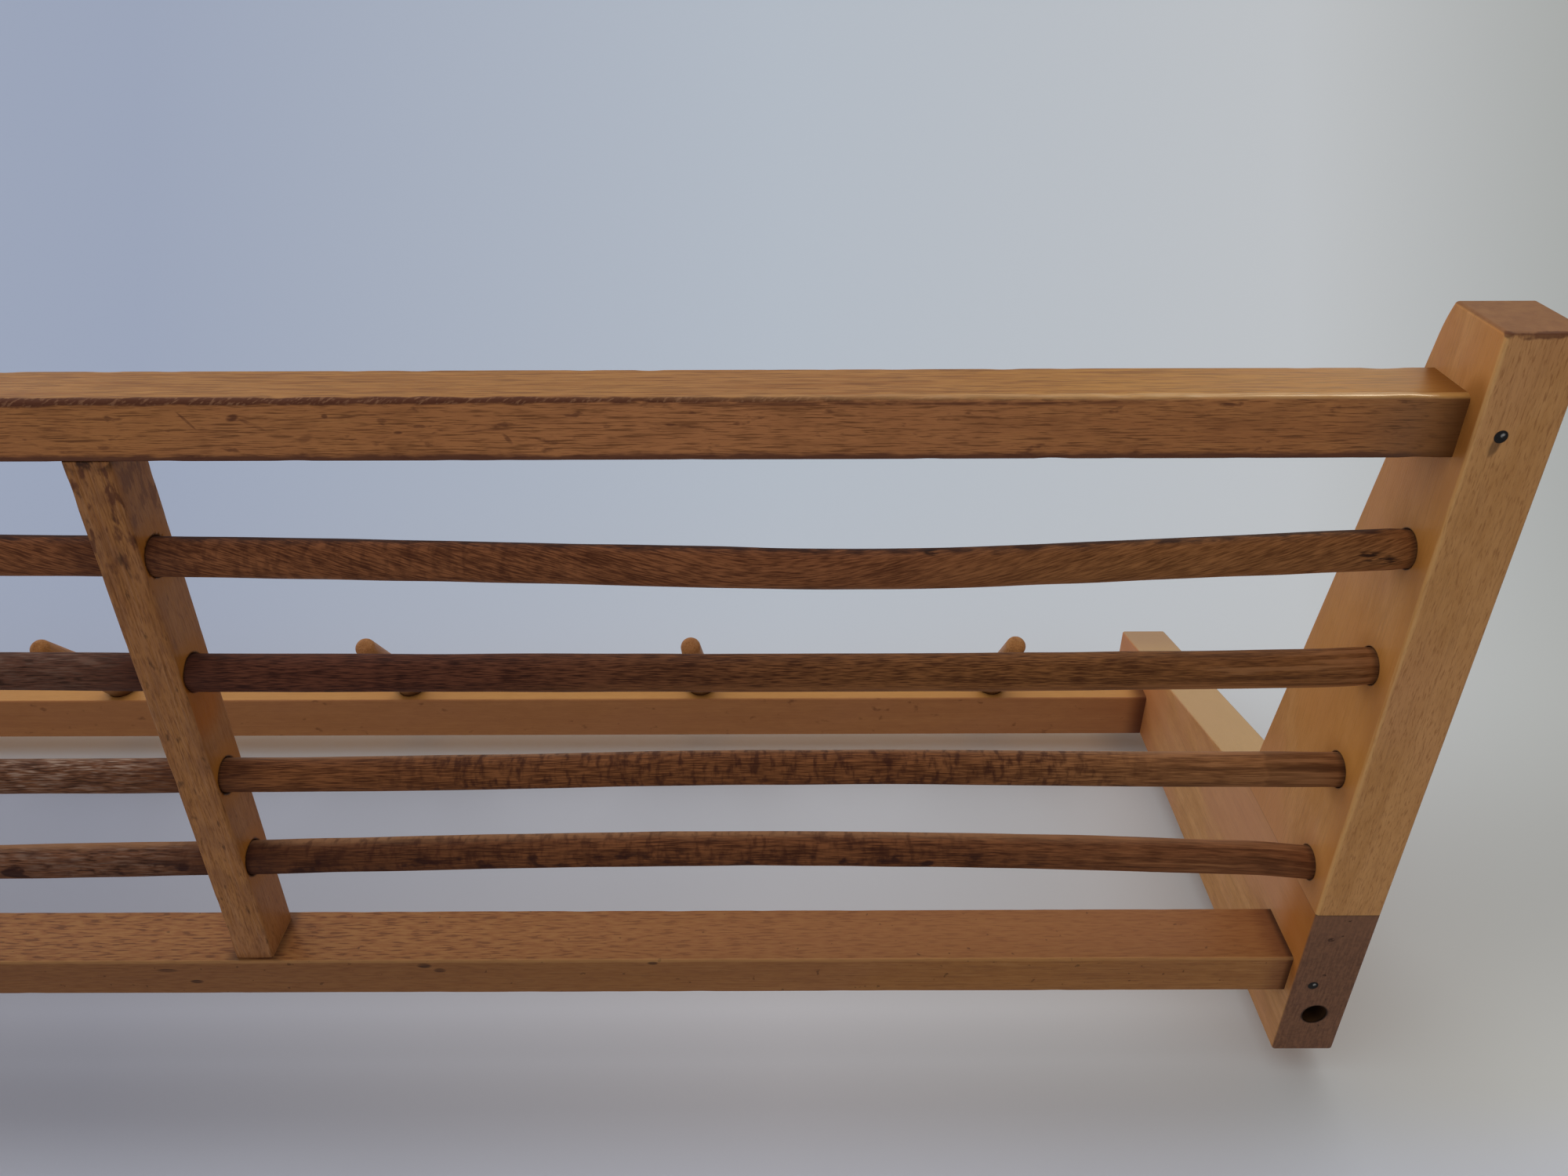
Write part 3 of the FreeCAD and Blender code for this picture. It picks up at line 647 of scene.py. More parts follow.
def back_rail_wood():
    """The back rail: darker, most of all on its front face, its flecks clearest about its middle, and a few
    dark spots.
    """
    wood = beech("back_rail_beech", "x", 6, fleck=(2.6, 0.42))
    top = wood.top_face(BACK_RAIL_TOP, 1.1, 0.3)
    front = 1.0 - top
    wood.stain(front * 0.75, rgb(0.29, 0.108, 0.038))
    right = wood.x.rise(-0.30, 0.03) * (1.0 - wood.x.rise(0.12, 0.26) * 0.5)
    wood.stain(top * (0.28 + right * 0.5), rgb(0.24, 0.098, 0.042))
    dashes = wood.grain(160, 1350, detail=1, shift=30)
    clear = (0.25 + right * 0.6) * (0.3 + front * 0.7)
    wood.stain(dashes.rise(0.52, 0.40) * clear * 0.4, rgb(0.50, 0.250, 0.085))
    wood.stain(dashes.rise(0.57, 0.64) * clear, FLECK)
    for middle, half in BACK_RAIL_SPOTS:
        spot = oval(wood.x, wood.y, middle, half) * wood.fibres.rise(0.25, 0.6)
        wood.stain(spot * top * 0.9, rgb(0.050, 0.020, 0.012))
    wood.stain(wood.spots(1.6 * MM, 0.70, shift=15) * 0.5, GRIME_AND_SHADE)
    before = wood.y.rise_at(BACK_LOW.y, 3, 1)
    # Painted contact shade on the front face beside the support
    wood.stain(wood.by_support(12, 6.8) * before * front * 0.6, GRIME_AND_SHADE)
    wood.stain(wood.by_arms(12, 1) * 0.5, RUST_RED)
    wood.stain(wood.by_arms(3, 0.5) * 0.7, GRIME_AND_SHADE)
    # A painted highlight along the top front edge
    edge = away(wood.y, wood.z, (BACK_LOW.y, BACK_RAIL_TOP))
    wood.stain(edge.rise(1.3 * MM, 0.6 * MM) * 0.2, STRAW)
    return wood.finish()


def support_wood():
    """The centre support: pits near the front, sides darkened by painted shade, painted amber reflections
    and dark rims round the dowels, and a painted amber reflection behind the second one."""
    wood = beech("support_beech", "y", 8, fleck=(2.5, 0.35), coarse=1.3)
    wood.stain(wood.fleck_mask * 0.3, FLECK)
    wood.stain(wood.fibres.rise(0.3, 0.7) * 0.45, rgb(0.38, 0.180, 0.100))
    wood.stain(wood.grain(260, 2500, detail=2, shift=24).rise(0.53, 0.66) * 0.5, FLECK)
    top = wood.top_face(RAIL_TOP, 1.1, 0.4)
    side = 1.0 - top
    wood.stain(top * wood.grain(90, 160, detail=4, shift=12).rise(0.45, 0.7) * 0.4, rgb(0.20, 0.085, 0.045))
    front = wood.y.rise(-0.195, -0.225)
    wood.stain(wood.grain(170, 480, detail=3, shift=15).rise(0.50, 0.64) * front * 0.8, RUST_RED)
    wood.stain(wood.grain(150, 480, detail=3, shift=18).rise(0.60, 0.74) * 0.6, GRIME_AND_SHADE)
    joint = wood.y.rise_at(FRONT_HIGH.y, 4, 0.3)
    wood.stain(joint * wood.grain(300, 500, detail=2, shift=21).rise(0.4, 0.6) * 0.9, GRIME_AND_SHADE)
    # Painted shade on the sides
    wood.stain(side * 0.35, rgb(0.37, 0.135, 0.032))
    for number in DOWELS:
        middle = [float(part[0]) for part in dowel_middle(number, np.zeros(1))]
        rim = away(wood.y, wood.z, middle)
        # Painted amber reflection round each bore, on the sides
        amber_reflection = rim.rise_at(DOWEL_RADIUS, 9, 1)
        wood.stain(amber_reflection * side * 0.75, rgb(0.46, 0.165, 0.022))
        wood.stain(rim.rise_at(DOWEL_RADIUS, 1.2, 0.4) * 0.8, GRIME_AND_SHADE)
    # Painted amber reflection behind the second dowel
    glow_y, glow_z = dowel_place(SECOND_DOWEL)
    glow = away(wood.y, wood.z, (glow_y + 13 * MM, glow_z)).rise(16 * MM, 5 * MM)
    wood.stain(glow * side * 0.75, rgb(0.41, 0.110, 0.006))
    return wood.finish()


# On the inner face of an arm: its middle's painted warm reflection and the painted shade by the front rail,
# on Y and Z, in millimetres
ARM_GLOW = ((-148, 180), (50, 34))
ARM_RAIL_SHADE = ((-258, 204), (15, 9))
# On top of a bracket: the smear by the front nail, on Y, and a pit, on X and Y, in millimetres
NAIL_SMEAR = -252.6
LEG_PIT = (389.8, -60.3)


def inner_face(wood, sign):
    """1 on the face of a bracket that looks at the other bracket."""
    return (wood.x * sign).rise_at(HALF_INSIDE, 0.6, 0.1)


def joint_line(wood, top):
    """A dark line where arm and leg meet, clearest on top."""
    wood.stain(wood.y.near(LEG_LOW.y, 0.4 * MM) * (0.3 + top * 0.3), GRIME_AND_SHADE)


def arm_wood(side, sign, seed):
    """A shelf arm: flecked on top, plainer inside, painted warm and amber reflections inside, painted shade
    by the front rail, dark round the sockets, a painted highlight on the inner top edge, a stained nail, a
    rough darker tip and the joint line to its leg."""
    wood = beech(f"{side}_arm_beech", "y", seed, fleck=(1.7, 0.24), pale=True, coarse=0.6)
    top = wood.top_face(BRACKET_TOP, 1, 0.2)
    inner = inner_face(wood, sign)
    wood.stain(top * 0.25, rgb(0.66, 0.345, 0.135))
    wood.stain(wood.fleck_mask * (0.10 + top * 0.5), rgb(0.34, 0.138, 0.045))
    rosy = wood.grain(18, 30, detail=2, shift=20).rise(0.45, 0.65)
    wood.stain(inner * rosy * 0.6, rgb(0.60, 0.265, 0.120))
    warmth = wood.top_face(BRACKET_TOP, 18, 3)
    wood.stain(inner * warmth * 0.5, rgb(0.60, 0.235, 0.040))
    # A painted warm reflection over the inner face, strongest in its middle
    glow = oval(wood.y, wood.z, *ARM_GLOW)
    wood.stain(inner * (0.2 + glow * 0.4), rgb(0.62, 0.250, 0.045))
    # Painted shade by the front rail
    rail_shade = oval(wood.y, wood.z, *ARM_RAIL_SHADE)
    wood.stain(inner * rail_shade * 0.65, rgb(0.28, 0.095, 0.014))
    # A painted highlight along the inner top edge
    edge = away(wood.x * sign, wood.z, (HALF_INSIDE, BRACKET_TOP))
    wood.stain(edge.rise(1.5 * MM, 0.7 * MM) * wood.fibres.rise(0.2, 0.6) * 0.55, STRAW)
    for number in DOWELS:
        rim = away(wood.y, wood.z, dowel_place(number))
        # Painted amber reflection round each socket
        wood.stain(inner * rim.rise_at(DOWEL_RADIUS, 8, 1) * 0.35, REFLECTED_AMBER)
        wood.stain(inner * rim.rise_at(DOWEL_RADIUS, 0.8, 0.2) * 0.85, GRIME_AND_SHADE)
    nail_x = sign * NAIL_X
    nail = away(wood.x, wood.y, (nail_x, FRONT_NAIL_Y))
    smear = oval(wood.x, wood.y, (nail_x / MM - 0.8 * sign, NAIL_SMEAR), (1.6, 4.2), 12 * sign)
    wood.stain(top * smear * 0.6, GRIME_AND_SHADE)
    nail_rim = nail.rise_at(NAIL_RADIUS, 0.3, -0.1)
    wood.stain(top * nail_rim * 0.95, rgb(0.012, 0.010, 0.009))
    tip = wood.y.rise_at(ARM_LOW.y, 0.9, 0.3)
    wood.stain(tip * (0.65 + wood.grain(60, 300, detail=4, shift=25) * 0.5), rgb(0.255, 0.110, 0.048))
    tip_edge = away(wood.y, wood.z, (ARM_LOW.y, BRACKET_TOP))
    chips = wood.grain(260, 260, detail=3, shift=15)
    wood.stain((tip_edge - (chips - 0.5) * 4 * MM).rise(1.8 * MM, 0.9 * MM) * 0.75, RUST_RED)
    joint_line(wood, top)
    wood.roughness = wood.roughness + tip * 0.4
    return wood.finish()


def leg_wood(side, sign, seed):
    """A wall leg: upright grain, a pale front edge, warm inside by the rails, bare end grain on top, a
    screw hole darkened inside by painted shade and the joint line to its arm."""
    wood = beech(f"{side}_leg_beech", "z", seed, fleck=(1.8, 0.35), pale=True, coarse=0.6)
    wood.stain(wood.fleck_mask * 0.10, FLECK)
    wood.stain(wood.grain(14, 30, detail=2, shift=20).rise(0.36, 0.58) * 0.6, rgb(0.60, 0.275, 0.140))
    slope = (LEG_LOW.y + LEG_TIP) / (KNEE - LEG_LOW.z)
    front = (wood.y - (wood.z - LEG_LOW.z) * slope + LEG_TIP).rise(0.8 * MM, 0.2 * MM)
    wood.stain(front * 0.8, rgb(0.56, 0.37, 0.185))
    wood.stain(front * wood.z.rise(5 * MM, -30 * MM) * 0.6, rgb(0.40, 0.235, 0.140))
    inner = inner_face(wood, sign)
    before_rail = wood.top_face(RAIL_TOP, 22, 5) * wood.y.rise(BACK_HIGH.y, BACK_LOW.y)
    wood.stain(inner * before_rail * 0.75, rgb(0.44, 0.135, 0.012))
    wood.stain(inner * wood.z.rise(55 * MM, 12 * MM) * 0.45, rgb(0.53, 0.150, 0.016))
    top = wood.top_face(BRACKET_TOP, 1.1, 0.3)
    pores = wood.grain(700, 700, detail=3, shift=12)
    drawn_out = wood.x.together(wood.y * 0.12, 0.0)
    rings = wood.grain(1300, 1300, detail=3, shift=14, place=drawn_out)
    grain = (pores * 0.4 + rings * 0.6).rise(0.36, 0.64).mix(rgb(0.125, 0.060, 0.041), END_GRAIN)
    wood.stain(top * 0.92, grain)
    wood.stain(top * wood.y.rise_at(LEG_LOW.y, 20, 4) * 0.3, rgb(0.28, 0.135, 0.075))
    wood.stain(top * wood.spots(1.5 * MM, 0.71, shift=18) * 0.8, GRIME_AND_SHADE)
    below = BRACKET_TOP - wood.z
    # Painted shade darkens the inside of the screw hole
    hole_shade = away(wood.x, wood.y - below * math.tan(SCREW_SLANT), (sign * BRACKET_MIDDLE, SCREW_ENTRY))
    wood.stain(hole_shade.rise_at(SCREW_RADIUS, 0.9, 0.1) * 0.92, rgb(0.016, 0.009, 0.006))
    nail = away(wood.x, wood.y, (sign * NAIL_X, BACK_NAIL_Y))
    nail_rim = nail.rise_at(NAIL_RADIUS, 0.5, -0.2)
    wood.stain(top * nail_rim * 0.7, rgb(0.02, 0.012, 0.009))
    pit = oval(wood.x, wood.y, (sign * LEG_PIT[0], LEG_PIT[1]), (1.6, 1.3)) * pores.rise(0.3, 0.5)
    wood.stain(top * pit * 0.8, GRIME_AND_SHADE)
    joint_line(wood, top)
    wood.roughness = wood.roughness + top * 0.2
    return wood.finish()


def peg_rail_wood():
    """The peg rail: a front face lighter than its top by painted light, dark round the peg feet and at its
    ends, and a few marks.
    """
    wood = beech("peg_rail_beech", "x", 7, fleck=(2.5, 0.4), coarse=0.5)
    wood.stain(wood.fleck_mask * 0.15, FLECK)
    top = wood.top_face(PEG_RAIL_HIGH.z, 1.0, 0.3)
    # Painted light makes the front face lighter than the top
    wood.stain((1.0 - top) * 0.55, rgb(0.66, 0.325, 0.085))
    wood.stain(top * 0.45, rgb(0.52, 0.220, 0.098))
    # Painted shade and dirt round each peg foot
    for number in PEGS:
        low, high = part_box(f"coat_peg_{number}")
        foot = away(wood.x, wood.z, ((low.x + high.x) / 2, PEG_FOOT_HEIGHT))
        wood.stain(foot.rise(11 * MM, 8 * MM) * 0.4, GRIME_AND_SHADE)
    wood.stain(top * wood.grain(150, 220, detail=3, shift=15).rise(0.64, 0.76) * 0.5, RUST_RED)
    wood.stain(wood.by_arms(11, 0.5) * 0.85, RUST_RED)
    return wood.finish()


def peg_wood(number):
    """A coat peg: grain along its slant, darkened by painted shadow where it meets the rail."""
    wood = beech(f"peg_{number}_beech", "y", 50 + number, turn=(PEG_TILT, 0, 0))
    wood.stain(wood.fleck_mask * 0.25, FLECK)
    # Painted shadow where the peg meets the rail
    wood.stain(wood.y.rise_at(PEG_RAIL_LOW.y, -11, -1) * 0.7, GRIME_AND_SHADE)
    return wood.finish()


def pin_wood():
    """The hidden pins: plain beech."""
    wood = beech("pin_beech", "y", 9)
    wood.stain(wood.fleck_mask * 0.25, FLECK)
    return wood.finish()


# Dowel finishes

# Where along X slanting grain turns over, over what length, and the contrast that a calm stretch loses
CHEVRON_MIDDLE = -0.19
CHEVRON_BEND = 0.03
CALMED = 0.42


class Rod(Paint):
    """A rod's surface: turn is the share of the way round, from the wall side over the top, and round_it
    the same in metres. flat is X and round_it, less a slant to both sides of the chevron's middle."""

    def __init__(self, number, slant):
        super().__init__(f"dowel_{number}_wood", "x", 11 + 3 * number)
        girth = self.place.add("ShaderNodeUVMap", {"uv_map": "girth"})
        self.turn = girth.add("ShaderNodeSeparateXYZ", inputs={0: girth}, output=1)
        self.round_it = self.turn * (2 * math.pi * DOWEL_RADIUS)
        off = self.x - CHEVRON_MIDDLE
        swept = self.round_it - (off * off + CHEVRON_BEND ** 2).root() * slant
        self.flat = self.x.together(swept, 0.0)


def stained_rod(
    number, dark, light, calm, hair=(2.2, 0.20), slant=0.0, shares=(0.62, 0.18, 0.20), reach=0.13
):
    """A stained rod: fine hairs of a length and width in millimetres, streaks and a mottle, each with its
    share of the tone; hairs and streaks slant to both sides of one place. The less the reach, the harder
    the tone. Over the calm stretch of X, in metres, it loses some of its contrast."""
    wood = Rod(number, slant)
    wood.hairs = wood.grain(0.5 / (hair[0] * MM), 0.5 / (hair[1] * MM), detail=2, place=wood.flat)
    wood.streaks = wood.grain(26, 520, detail=5, distortion=0.3, shift=2, place=wood.flat)
    mottle = wood.grain(80, 170, detail=4, shift=4)
    wood.ragged = wood.grain(150, 400, detail=4, shift=6)
    tone = wood.hairs * shares[0] + wood.streaks * shares[1] + mottle * shares[2] - 0.5
    tone = tone * (1.0 - wood.x.rise(*calm) * CALMED)
    wood.tone = tone.rise(-reach, reach)
    wood.color = wood.tone.mix(dark, light)
    wood.roughness = 0.5 + wood.hairs * 0.25
    wood.height = wood.hairs * 0.9 + wood.streaks * 0.3
    return wood


def smudge(wood, middle, half, depth):
    """Short dark marks across the rod, within a half length of a middle along X, in millimetres."""
    marks = wood.grain(430, 190, detail=5, shift=5).rise(0.46, 0.68)
    about = abs(wood.x - middle * MM).rise(half * MM, half * 0.6 * MM)
    wood.stain(marks * about * depth, rgb(0.050, 0.014, 0.009))


def weather(wood, pale):
    """Beyond the centre support the rod is rough and grey, like bark, most of all close to it."""
    bark = wood.grain(110, 800, detail=5, shift=11) * 0.5 + wood.grain(210, 1900, detail=1, shift=16) * 0.5
    far = wood.x.rise(0.0, 0.03) * (1.0 - wood.x.rise(0.12, 0.24) * 0.65)
    wood.stain(far * 0.45, rgb(0.17, 0.085, 0.058))
    wood.stain(far * bark.rise(0.48, 0.36) * 0.8, GRIME_AND_SHADE)
    # Pale crests, most on the front side: weathered grey wood and painted highlight
    crest = pale * (0.55 + wood.turn.rise(0.3, 0.5) * 0.45)
    wood.stain(far * bark.rise(0.48, 0.64) * crest, rgb(0.44, 0.30, 0.225))
    wood.height = wood.height + far * bark * 3.0


def mark(wood, middle, half, turn=0.0):
    """A torn dark mark: its place along X and round the rod, and its half sizes, in millimetres."""
    torn = wood.grain(190, 1100, detail=3, shift=9).rise(0.40, 0.56)
    inside = oval(wood.x, wood.round_it, middle, half, turn)
    wood.stain(inside * torn * 0.9, rgb(0.020, 0.008, 0.006))


def smooth_end(wood):
    """Near the left arm the rod is smooth, with long light and dark streaks."""
    near_arm = wood.x.rise(-0.28, -0.34)
    wood.stain(near_arm * wood.streaks.rise(0.47, 0.32) * 0.55, rgb(0.075, 0.026, 0.010))
    wood.stain(near_arm * wood.streaks.rise(0.52, 0.66) * 0.5, rgb(0.42, 0.190, 0.080))


def rod_finish(wood):
    """Grime where the rod enters the centre support and the arms, and a dull surface."""
    wood.stain(wood.by_support(26, 7) * 0.4, rgb(0.050, 0.020, 0.016))
    wood.stain(wood.by_arms(2.5, 0.5) * 0.4, GRIME_AND_SHADE)
    return wood.finish(coat=0.0, specular=0.08, bump=0.6)


def front_dowel_wood():
    """The dowel next to the front rail: brown, its grain slanting off a bend, black along its front."""
    dark, light = rgb(0.110, 0.035, 0.015), rgb(0.35, 0.132, 0.054)
    wood = stained_rod(FRONT_DOWEL, dark, light, calm=(-0.17, -0.26), slant=0.30)
    golden = wood.tone.mix(rgb(0.130, 0.046, 0.014), rgb(0.44, 0.190, 0.066))
    wood.stain(wood.x.rise(-0.20, -0.31) * 0.8, golden)
    edge = wood.turn + (wood.ragged - 0.5) * 0.30
    wood.stain(edge.rise(0.45, 0.54) * 0.85, rgb(0.040, 0.014, 0.010))
    wood.stain(wood.turn.rise(0.20, 0.12) * wood.streaks.rise(0.45, 0.6) * 0.5, rgb(0.42, 0.19, 0.095))
    smudge(wood, -60, 90, 0.4)
    mark(wood, (-239, 18.0), (3.0, 2.2))
    mark(wood, (-370.6, 10.0), (8.5, 2.2), 14)
    mark(wood, (-352, 5.2), (5.0, 0.8), -10)
    return rod_finish(wood)


def second_dowel_wood():
    """The second dowel: dark red-brown with fine pale dashes, browner towards the left arm."""
    dark, light = rgb(0.040, 0.012, 0.008), rgb(0.160, 0.054, 0.030)
    wood = stained_rod(SECOND_DOWEL, dark, light, calm=(-0.27, -0.34), hair=(2.8, 0.20), reach=0.115)
    golden = wood.tone.mix(rgb(0.098, 0.033, 0.011), rgb(0.32, 0.130, 0.042))
    wood.stain(wood.x.rise(-0.06, -0.28) * 0.9, golden)
    lower = wood.turn.rise(0.27, 0.14) * (0.3 + wood.streaks.rise(0.4, 0.6) * 0.4)
    wood.stain(wood.x.rise(-0.06, -0.20) * lower, rgb(0.42, 0.175, 0.066))
    weather(wood, 0.25)
    mark(wood, (-50, 5.4), (5.0, 0.9), 15)
    smooth_end(wood)
    return rod_finish(wood)


def third_dowel_wood():
    """The third dowel: golden brown, smudged across, paler near the left arm, where a dark end begins."""
    dark, light = rgb(0.095, 0.030, 0.011), rgb(0.30, 0.112, 0.041)
    wood = stained_rod(THIRD_DOWEL, dark, light, calm=(-0.28, -0.33), hair=(3.4, 0.20))
    golden = wood.tone.mix(rgb(0.150, 0.056, 0.020), rgb(0.43, 0.192, 0.075))
    wood.stain(wood.x.rise(-0.22, -0.33) * 0.8, golden)
    wood.stain(wood.turn.rise(0.50, 0.57) * 0.5, rgb(0.40, 0.220, 0.120))
    weather(wood, 1.0)
    smudge(wood, -185, 150, 0.75)
    mark(wood, (-308, 6.0), (7.0, 0.9), 8)
    end = abs(wood.x + (wood.ragged - 0.5) * 6 * MM).rise_at(HALF_INSIDE, -27, -25)
    wood.stain(end * 0.5, rgb(0.12, 0.045, 0.016))
    smooth_end(wood)
    return rod_finish(wood)


def wall_dowel_wood():
    """The dowel next to the back rail: a paler front and a row of dark spots."""
    dark, light = rgb(0.070, 0.022, 0.010), rgb(0.27, 0.099, 0.038)
    calm, shares = (-0.27, -0.34), (0.52, 0.18, 0.30)
    wood = stained_rod(WALL_DOWEL, dark, light, calm, hair=(3.4, 0.20), shares=shares, reach=0.14)
    wood.stain(wood.x.near(-0.03, 0.10) * 0.45, rgb(0.045, 0.016, 0.010))
    weather(wood, 0.4)
    wood.stain((wood.turn + (wood.ragged - 0.5) * 0.1).rise(0.44, 0.56) * 0.75, rgb(0.37, 0.180, 0.083))
    low_side = abs(wood.turn - 0.25).rise(0.14, 0.05)
    spots = wood.grain(110, 150, detail=3, shift=13).rise(0.50, 0.62) * wood.x.rise(-0.34, -0.24)
    wood.stain(low_side * spots * 0.85, rgb(0.030, 0.010, 0.009))
    golden = wood.tone.mix(rgb(0.120, 0.042, 0.016), rgb(0.34, 0.135, 0.055))
    wood.stain(wood.x.rise(-0.24, -0.34) * 0.5, golden)
    smudge(wood, -120, 170, 0.55)
    smooth_end(wood)
    return rod_finish(wood)


DOWEL_FINISH = {
    FRONT_DOWEL: front_dowel_wood,
    SECOND_DOWEL: second_dowel_wood,
    THIRD_DOWEL: third_dowel_wood,
    WALL_DOWEL: wall_dowel_wood,
}


# How far the bright spot, worn steel and painted highlight, lies off the middle of a nail's head, outwards
# and to the front
NAIL_BRIGHT_SPOT = 0.4 * MM


def nail_steel():
    """The nails: dark dull steel, with a bright spot on each head, worn steel and painted highlight."""
    steel = Paint("nail_steel", "z", 71)
    rust = steel.grain(900, 900, detail=3)
    side_x = abs(steel.x) - NAIL_X
    front = away(side_x, steel.y, (NAIL_BRIGHT_SPOT, FRONT_NAIL_Y - NAIL_BRIGHT_SPOT))
    back = away(side_x, steel.y, (NAIL_BRIGHT_SPOT, BACK_NAIL_Y - NAIL_BRIGHT_SPOT))
    worn_and_highlight = front.smaller(back).rise(0.8 * MM, 0.3 * MM) * rust.rise(0.3, 0.55)
    steel.color = worn_and_highlight.mix(rgb(0.022, 0.020, 0.019), rgb(0.34, 0.33, 0.31))
    steel.roughness = 0.35 + rust * 0.35
    steel.height = rust
    return steel.finish(coat=0.0, bump=0.3, metallic=0.7)


# Dress the solids that keep their shape, and put the new pieces in place

def dress(node, material):
    """Give a solid its finish."""
    slots = NODES[node].data.materials
    slots.clear()
    slots.append(material)


for side, sign, seed in (("left", -1, 0), ("right", 1, 20)):
    dress(f"{side}_wall_leg", leg_wood(side, sign, seed + 3))
    dress(f"{side}_shelf_arm", arm_wood(side, sign, seed + 5))
dress("peg_rail", peg_rail_wood())
for number in PEGS:
    dress(f"coat_peg_{number}", peg_wood(number))
dress("rail_nails", nail_steel())
dress("bracket_pins", pin_wood())
for number in DOWELS:
    stand_for(shelf_dowel(number), f"shelf_dowel_{number}", DOWEL_FINISH[number]())
front_rail = shelf_rail("front_rail", RAIL_NOSE, 21, FRONT_RAIL_WEAR)
stand_for(front_rail, "front_rail", front_rail_wood())
back_rail = shelf_rail("back_rail", RAIL_EASE, 25, BACK_RAIL_WEAR, BACK_RAIL_GROWTH)
stand_for(back_rail, "back_rail", back_rail_wood())
stand_for(centre_support(), "centre_support", support_wood())


# The view

CAMERA_PLACE = (-0.1947, -0.3846, 0.4990)
CAMERA_TILT = math.radians(31.24)
CAMERA_ROLL = math.radians(-0.18)
FOCAL_PIXELS = 1488.9
FRAME_PIXELS = 2000
SENSOR_WIDTH = 36


# Pale floor under the rack's wall side, seen from the front only

FLOOR_GAP = 12 * MM
FLOOR_HALF = 14.0
LEAST_DEPTH = 0.2


def pale_floor():
    """A flat grid behind the rack; its back lets the view through. Its tones go by where a point lies in
    the
    view, sideways and upward over its depth: painted light and shade, cool on one side, warm on the other."""
    steps = np.linspace(-FLOOR_HALF, FLOOR_HALF, 3)
    across, up = np.meshgrid(steps, steps)
    points = np.stack([across, np.full_like(across, FLOOR_GAP), up], axis=-1).reshape(-1, 3)
    # The first corner of each of the four cells
    cell = np.array([0, 1, 3, 4])
    faces = np.stack([cell, cell + 1, cell + 4, cell + 3], axis=-1)
    mesh = bpy.data.meshes.new("pale_floor")
    mesh.from_pydata(points.tolist(), [], faces.tolist())
    floor = put("pale_floor", mesh)
    paint = Paint("pale_floor_paint")
    camera_x, camera_y, camera_z = CAMERA_PLACE
    ahead = FLOOR_GAP - camera_y
    below = camera_z - paint.z
    cos, sin = math.cos(CAMERA_TILT), math.sin(CAMERA_TILT)
    depth = (ahead * sin + below * cos).larger(LEAST_DEPTH)
    sideways = (paint.x - camera_x) / depth
    upward = (below * sin - ahead * cos) / depth
    # Painted light: cool on one side, warm on the other
    far = sideways.ramp(0.0, 0.55).mix(rgb(0.65, 0.72, 0.82), rgb(0.48, 0.55, 0.72))
    far = sideways.ramp(0.0, -0.5).mix(far, rgb(0.75, 0.78, 0.81))
    far = sideways.ramp(-0.44, -0.68).mix(far, rgb(0.57, 0.59, 0.58))
    near = sideways.ramp(0.0, 0.6).mix(rgb(0.78, 0.78, 0.82), rgb(0.52, 0.54, 0.63))
    near = sideways.ramp(0.0, -0.6).mix(near, rgb(0.70, 0.71, 0.69))
    color = upward.rise(0.15, -0.45).mix(far, near)
    # A painted shadow band across the middle
    color = (upward.near(-0.26, 0.2) * 0.17).mix(color, rgb(0.05, 0.02, 0.02))
    # Painted light: lighter and bluer at the bottom of the view
    color = (upward.rise(-0.42, -0.52) * 0.5).mix(color, rgb(0.80, 0.85, 1.0))
    # Painted light on the strip below the peg rail, where its shadow falls
    painted_light_by_peg_rail = upward.near(-0.130, 0.035) * abs(paint.x).rise_at(HALF_INSIDE, 0, -30)
    color = (painted_light_by_peg_rail * 0.85).mix(color, rgb(1.0, 1.0, 1.0))
    matte = color.add("ShaderNodeBsdfDiffuse", inputs={"Color": color})
    clear = color.add("ShaderNodeBsdfTransparent")
    behind = color.add("ShaderNodeNewGeometry", output="Backfacing")
    both = color.add("ShaderNodeMixShader", inputs={0: behind, 1: matte, 2: clear})
    color.add("ShaderNodeOutputMaterial", inputs={"Surface": both})
    mesh.materials.append(paint.material)
    floor.visible_diffuse = False
    floor.visible_shadow = False


pale_floor()


# Light and camera

def lamp(name, kind, strength, color, direction):
    """A light that shines along a direction."""
    light = bpy.data.lights.new(name, kind)
    light.energy = strength
    light.color = color
    thing = put(name, light)
    thing.rotation_mode = "QUATERNION"
    thing.rotation_quaternion = direction.to_track_quat("-Z", "Y")
    return thing


def soft_sun(name, source, strength, spread, color):
    """Even soft light from one side, spread over an angle in degrees."""
    sun = lamp(name, "SUN", strength, color, -Vector(source))
    sun.data.angle = math.radians(spread)


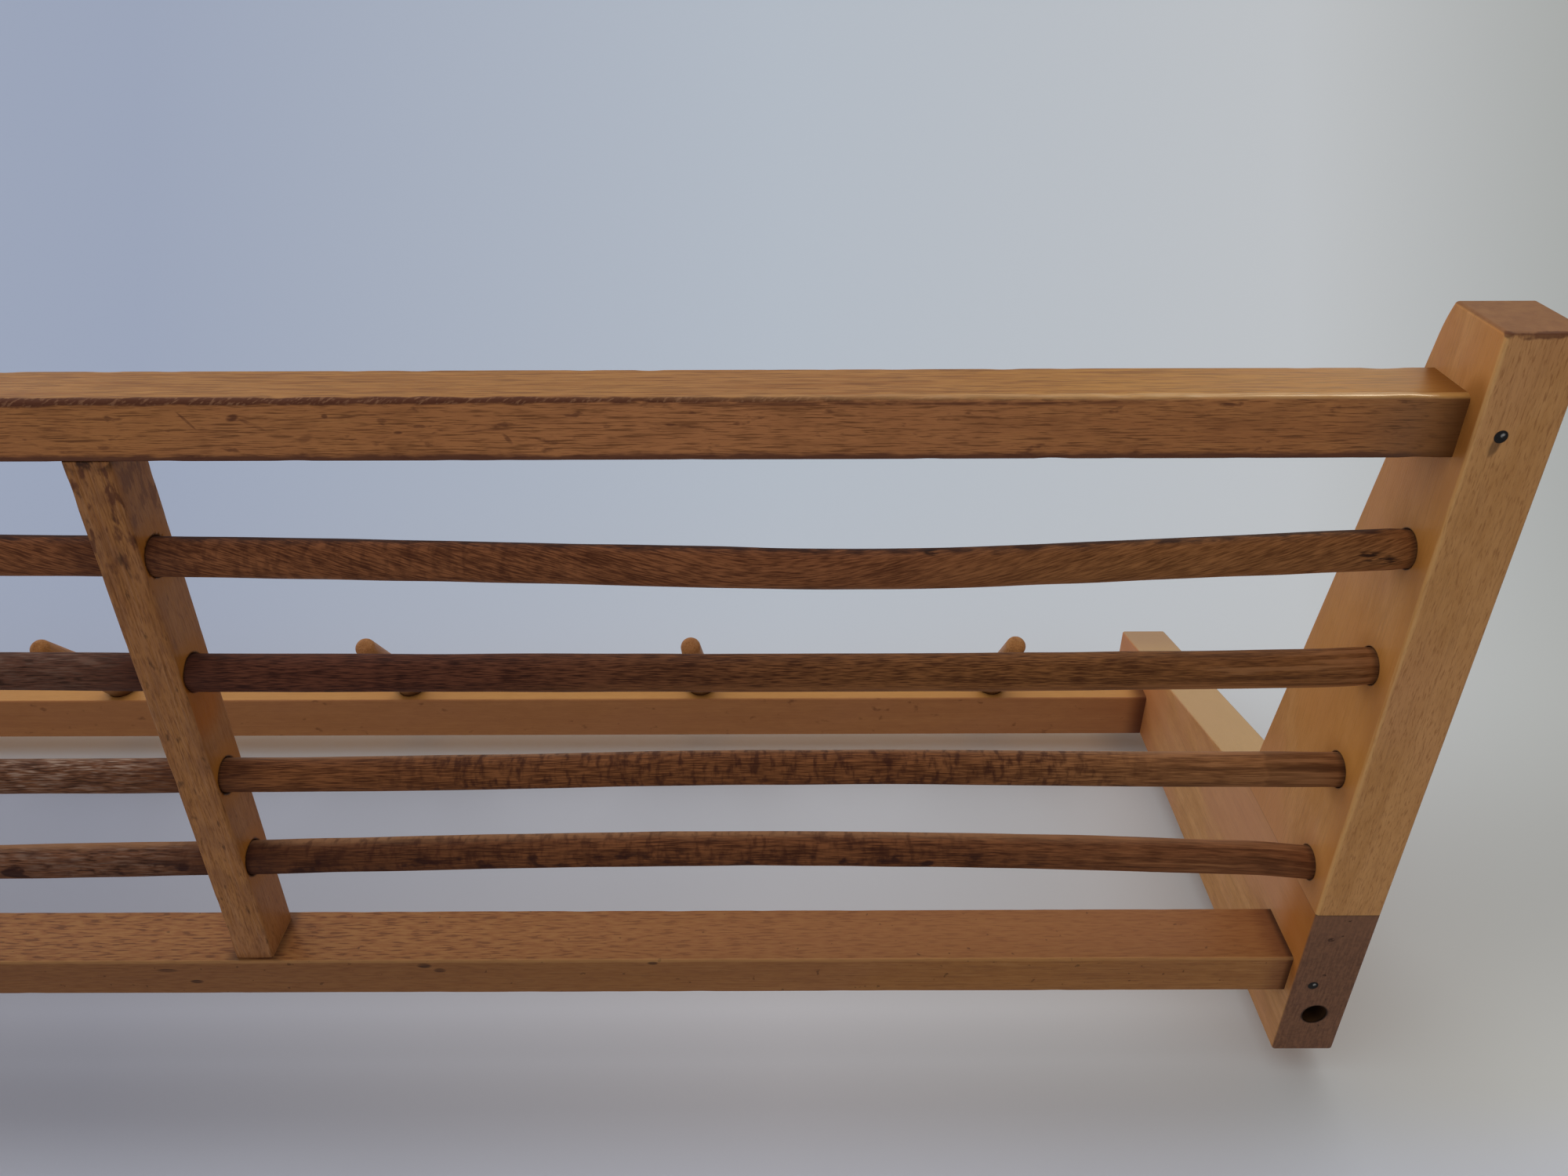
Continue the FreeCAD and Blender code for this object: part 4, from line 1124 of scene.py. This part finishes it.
def window(name, place, aim, size, strength, color):
    """A square of light that shows as a sheen on the varnish."""
    square = lamp(name, "AREA", strength, color, Vector(aim) - Vector(place))
    square.data.size = size
    square.location = place
    square.visible_diffuse = False


WINDOW_WHITE = (1.0, 0.97, 0.93)
ROOM_WHITE = (1.0, 0.97, 0.94)
COOL_WHITE = (0.86, 0.93, 1.0)
SHEEN_GOLD = (1.0, 0.86, 0.62)
GLINT_GOLD = (1.0, 0.88, 0.66)
soft_sun("window_side", (0.05, -0.82, -0.42), strength=0.85, spread=70, color=WINDOW_WHITE)
soft_sun("cool_side", (0.8, -0.5, -0.2), strength=0.75, spread=80, color=COOL_WHITE)
soft_sun("room_side", (0.1, -0.6, 0.8), strength=0.3, spread=90, color=ROOM_WHITE)
window("sheen", (-1.05, -0.75, -1.05), (-0.3, -0.26, 0.19), size=0.55, strength=2, color=SHEEN_GOLD)
window("glint", (-0.82, -1.10, 0.02), (-0.345, -0.262, 0.2005), size=0.2, strength=4, color=GLINT_GOLD)

world = bpy.data.worlds.new("pale_room")
world.use_nodes = True
sky = world.node_tree.nodes["Background"]
sky.inputs["Color"].default_value = rgb(0.90, 0.89, 0.88)
sky.inputs["Strength"].default_value = 0.32
bpy.context.scene.world = world


def photo_camera():
    """Looks down past the front rail, tilted from straight along -Z towards the wall."""
    data = bpy.data.cameras.new("camera")
    data.sensor_width = SENSOR_WIDTH
    data.lens = data.sensor_width * FOCAL_PIXELS / FRAME_PIXELS
    viewer = put("camera", data)
    forward = np.array([0, math.sin(CAMERA_TILT), -math.cos(CAMERA_TILT)])
    level_right = np.array([-1.0, 0, 0])
    level_down = np.array([0, math.cos(CAMERA_TILT), math.sin(CAMERA_TILT)])
    right = math.cos(CAMERA_ROLL) * level_right - math.sin(CAMERA_ROLL) * level_down
    down = math.sin(CAMERA_ROLL) * level_right + math.cos(CAMERA_ROLL) * level_down
    turned = Matrix(np.stack([right, -down, -forward], axis=-1).tolist()).to_4x4()
    viewer.matrix_world = Matrix.Translation(CAMERA_PLACE) @ turned
    bpy.context.scene.camera = viewer


photo_camera()
bpy.context.scene.view_settings.view_transform = "Standard"
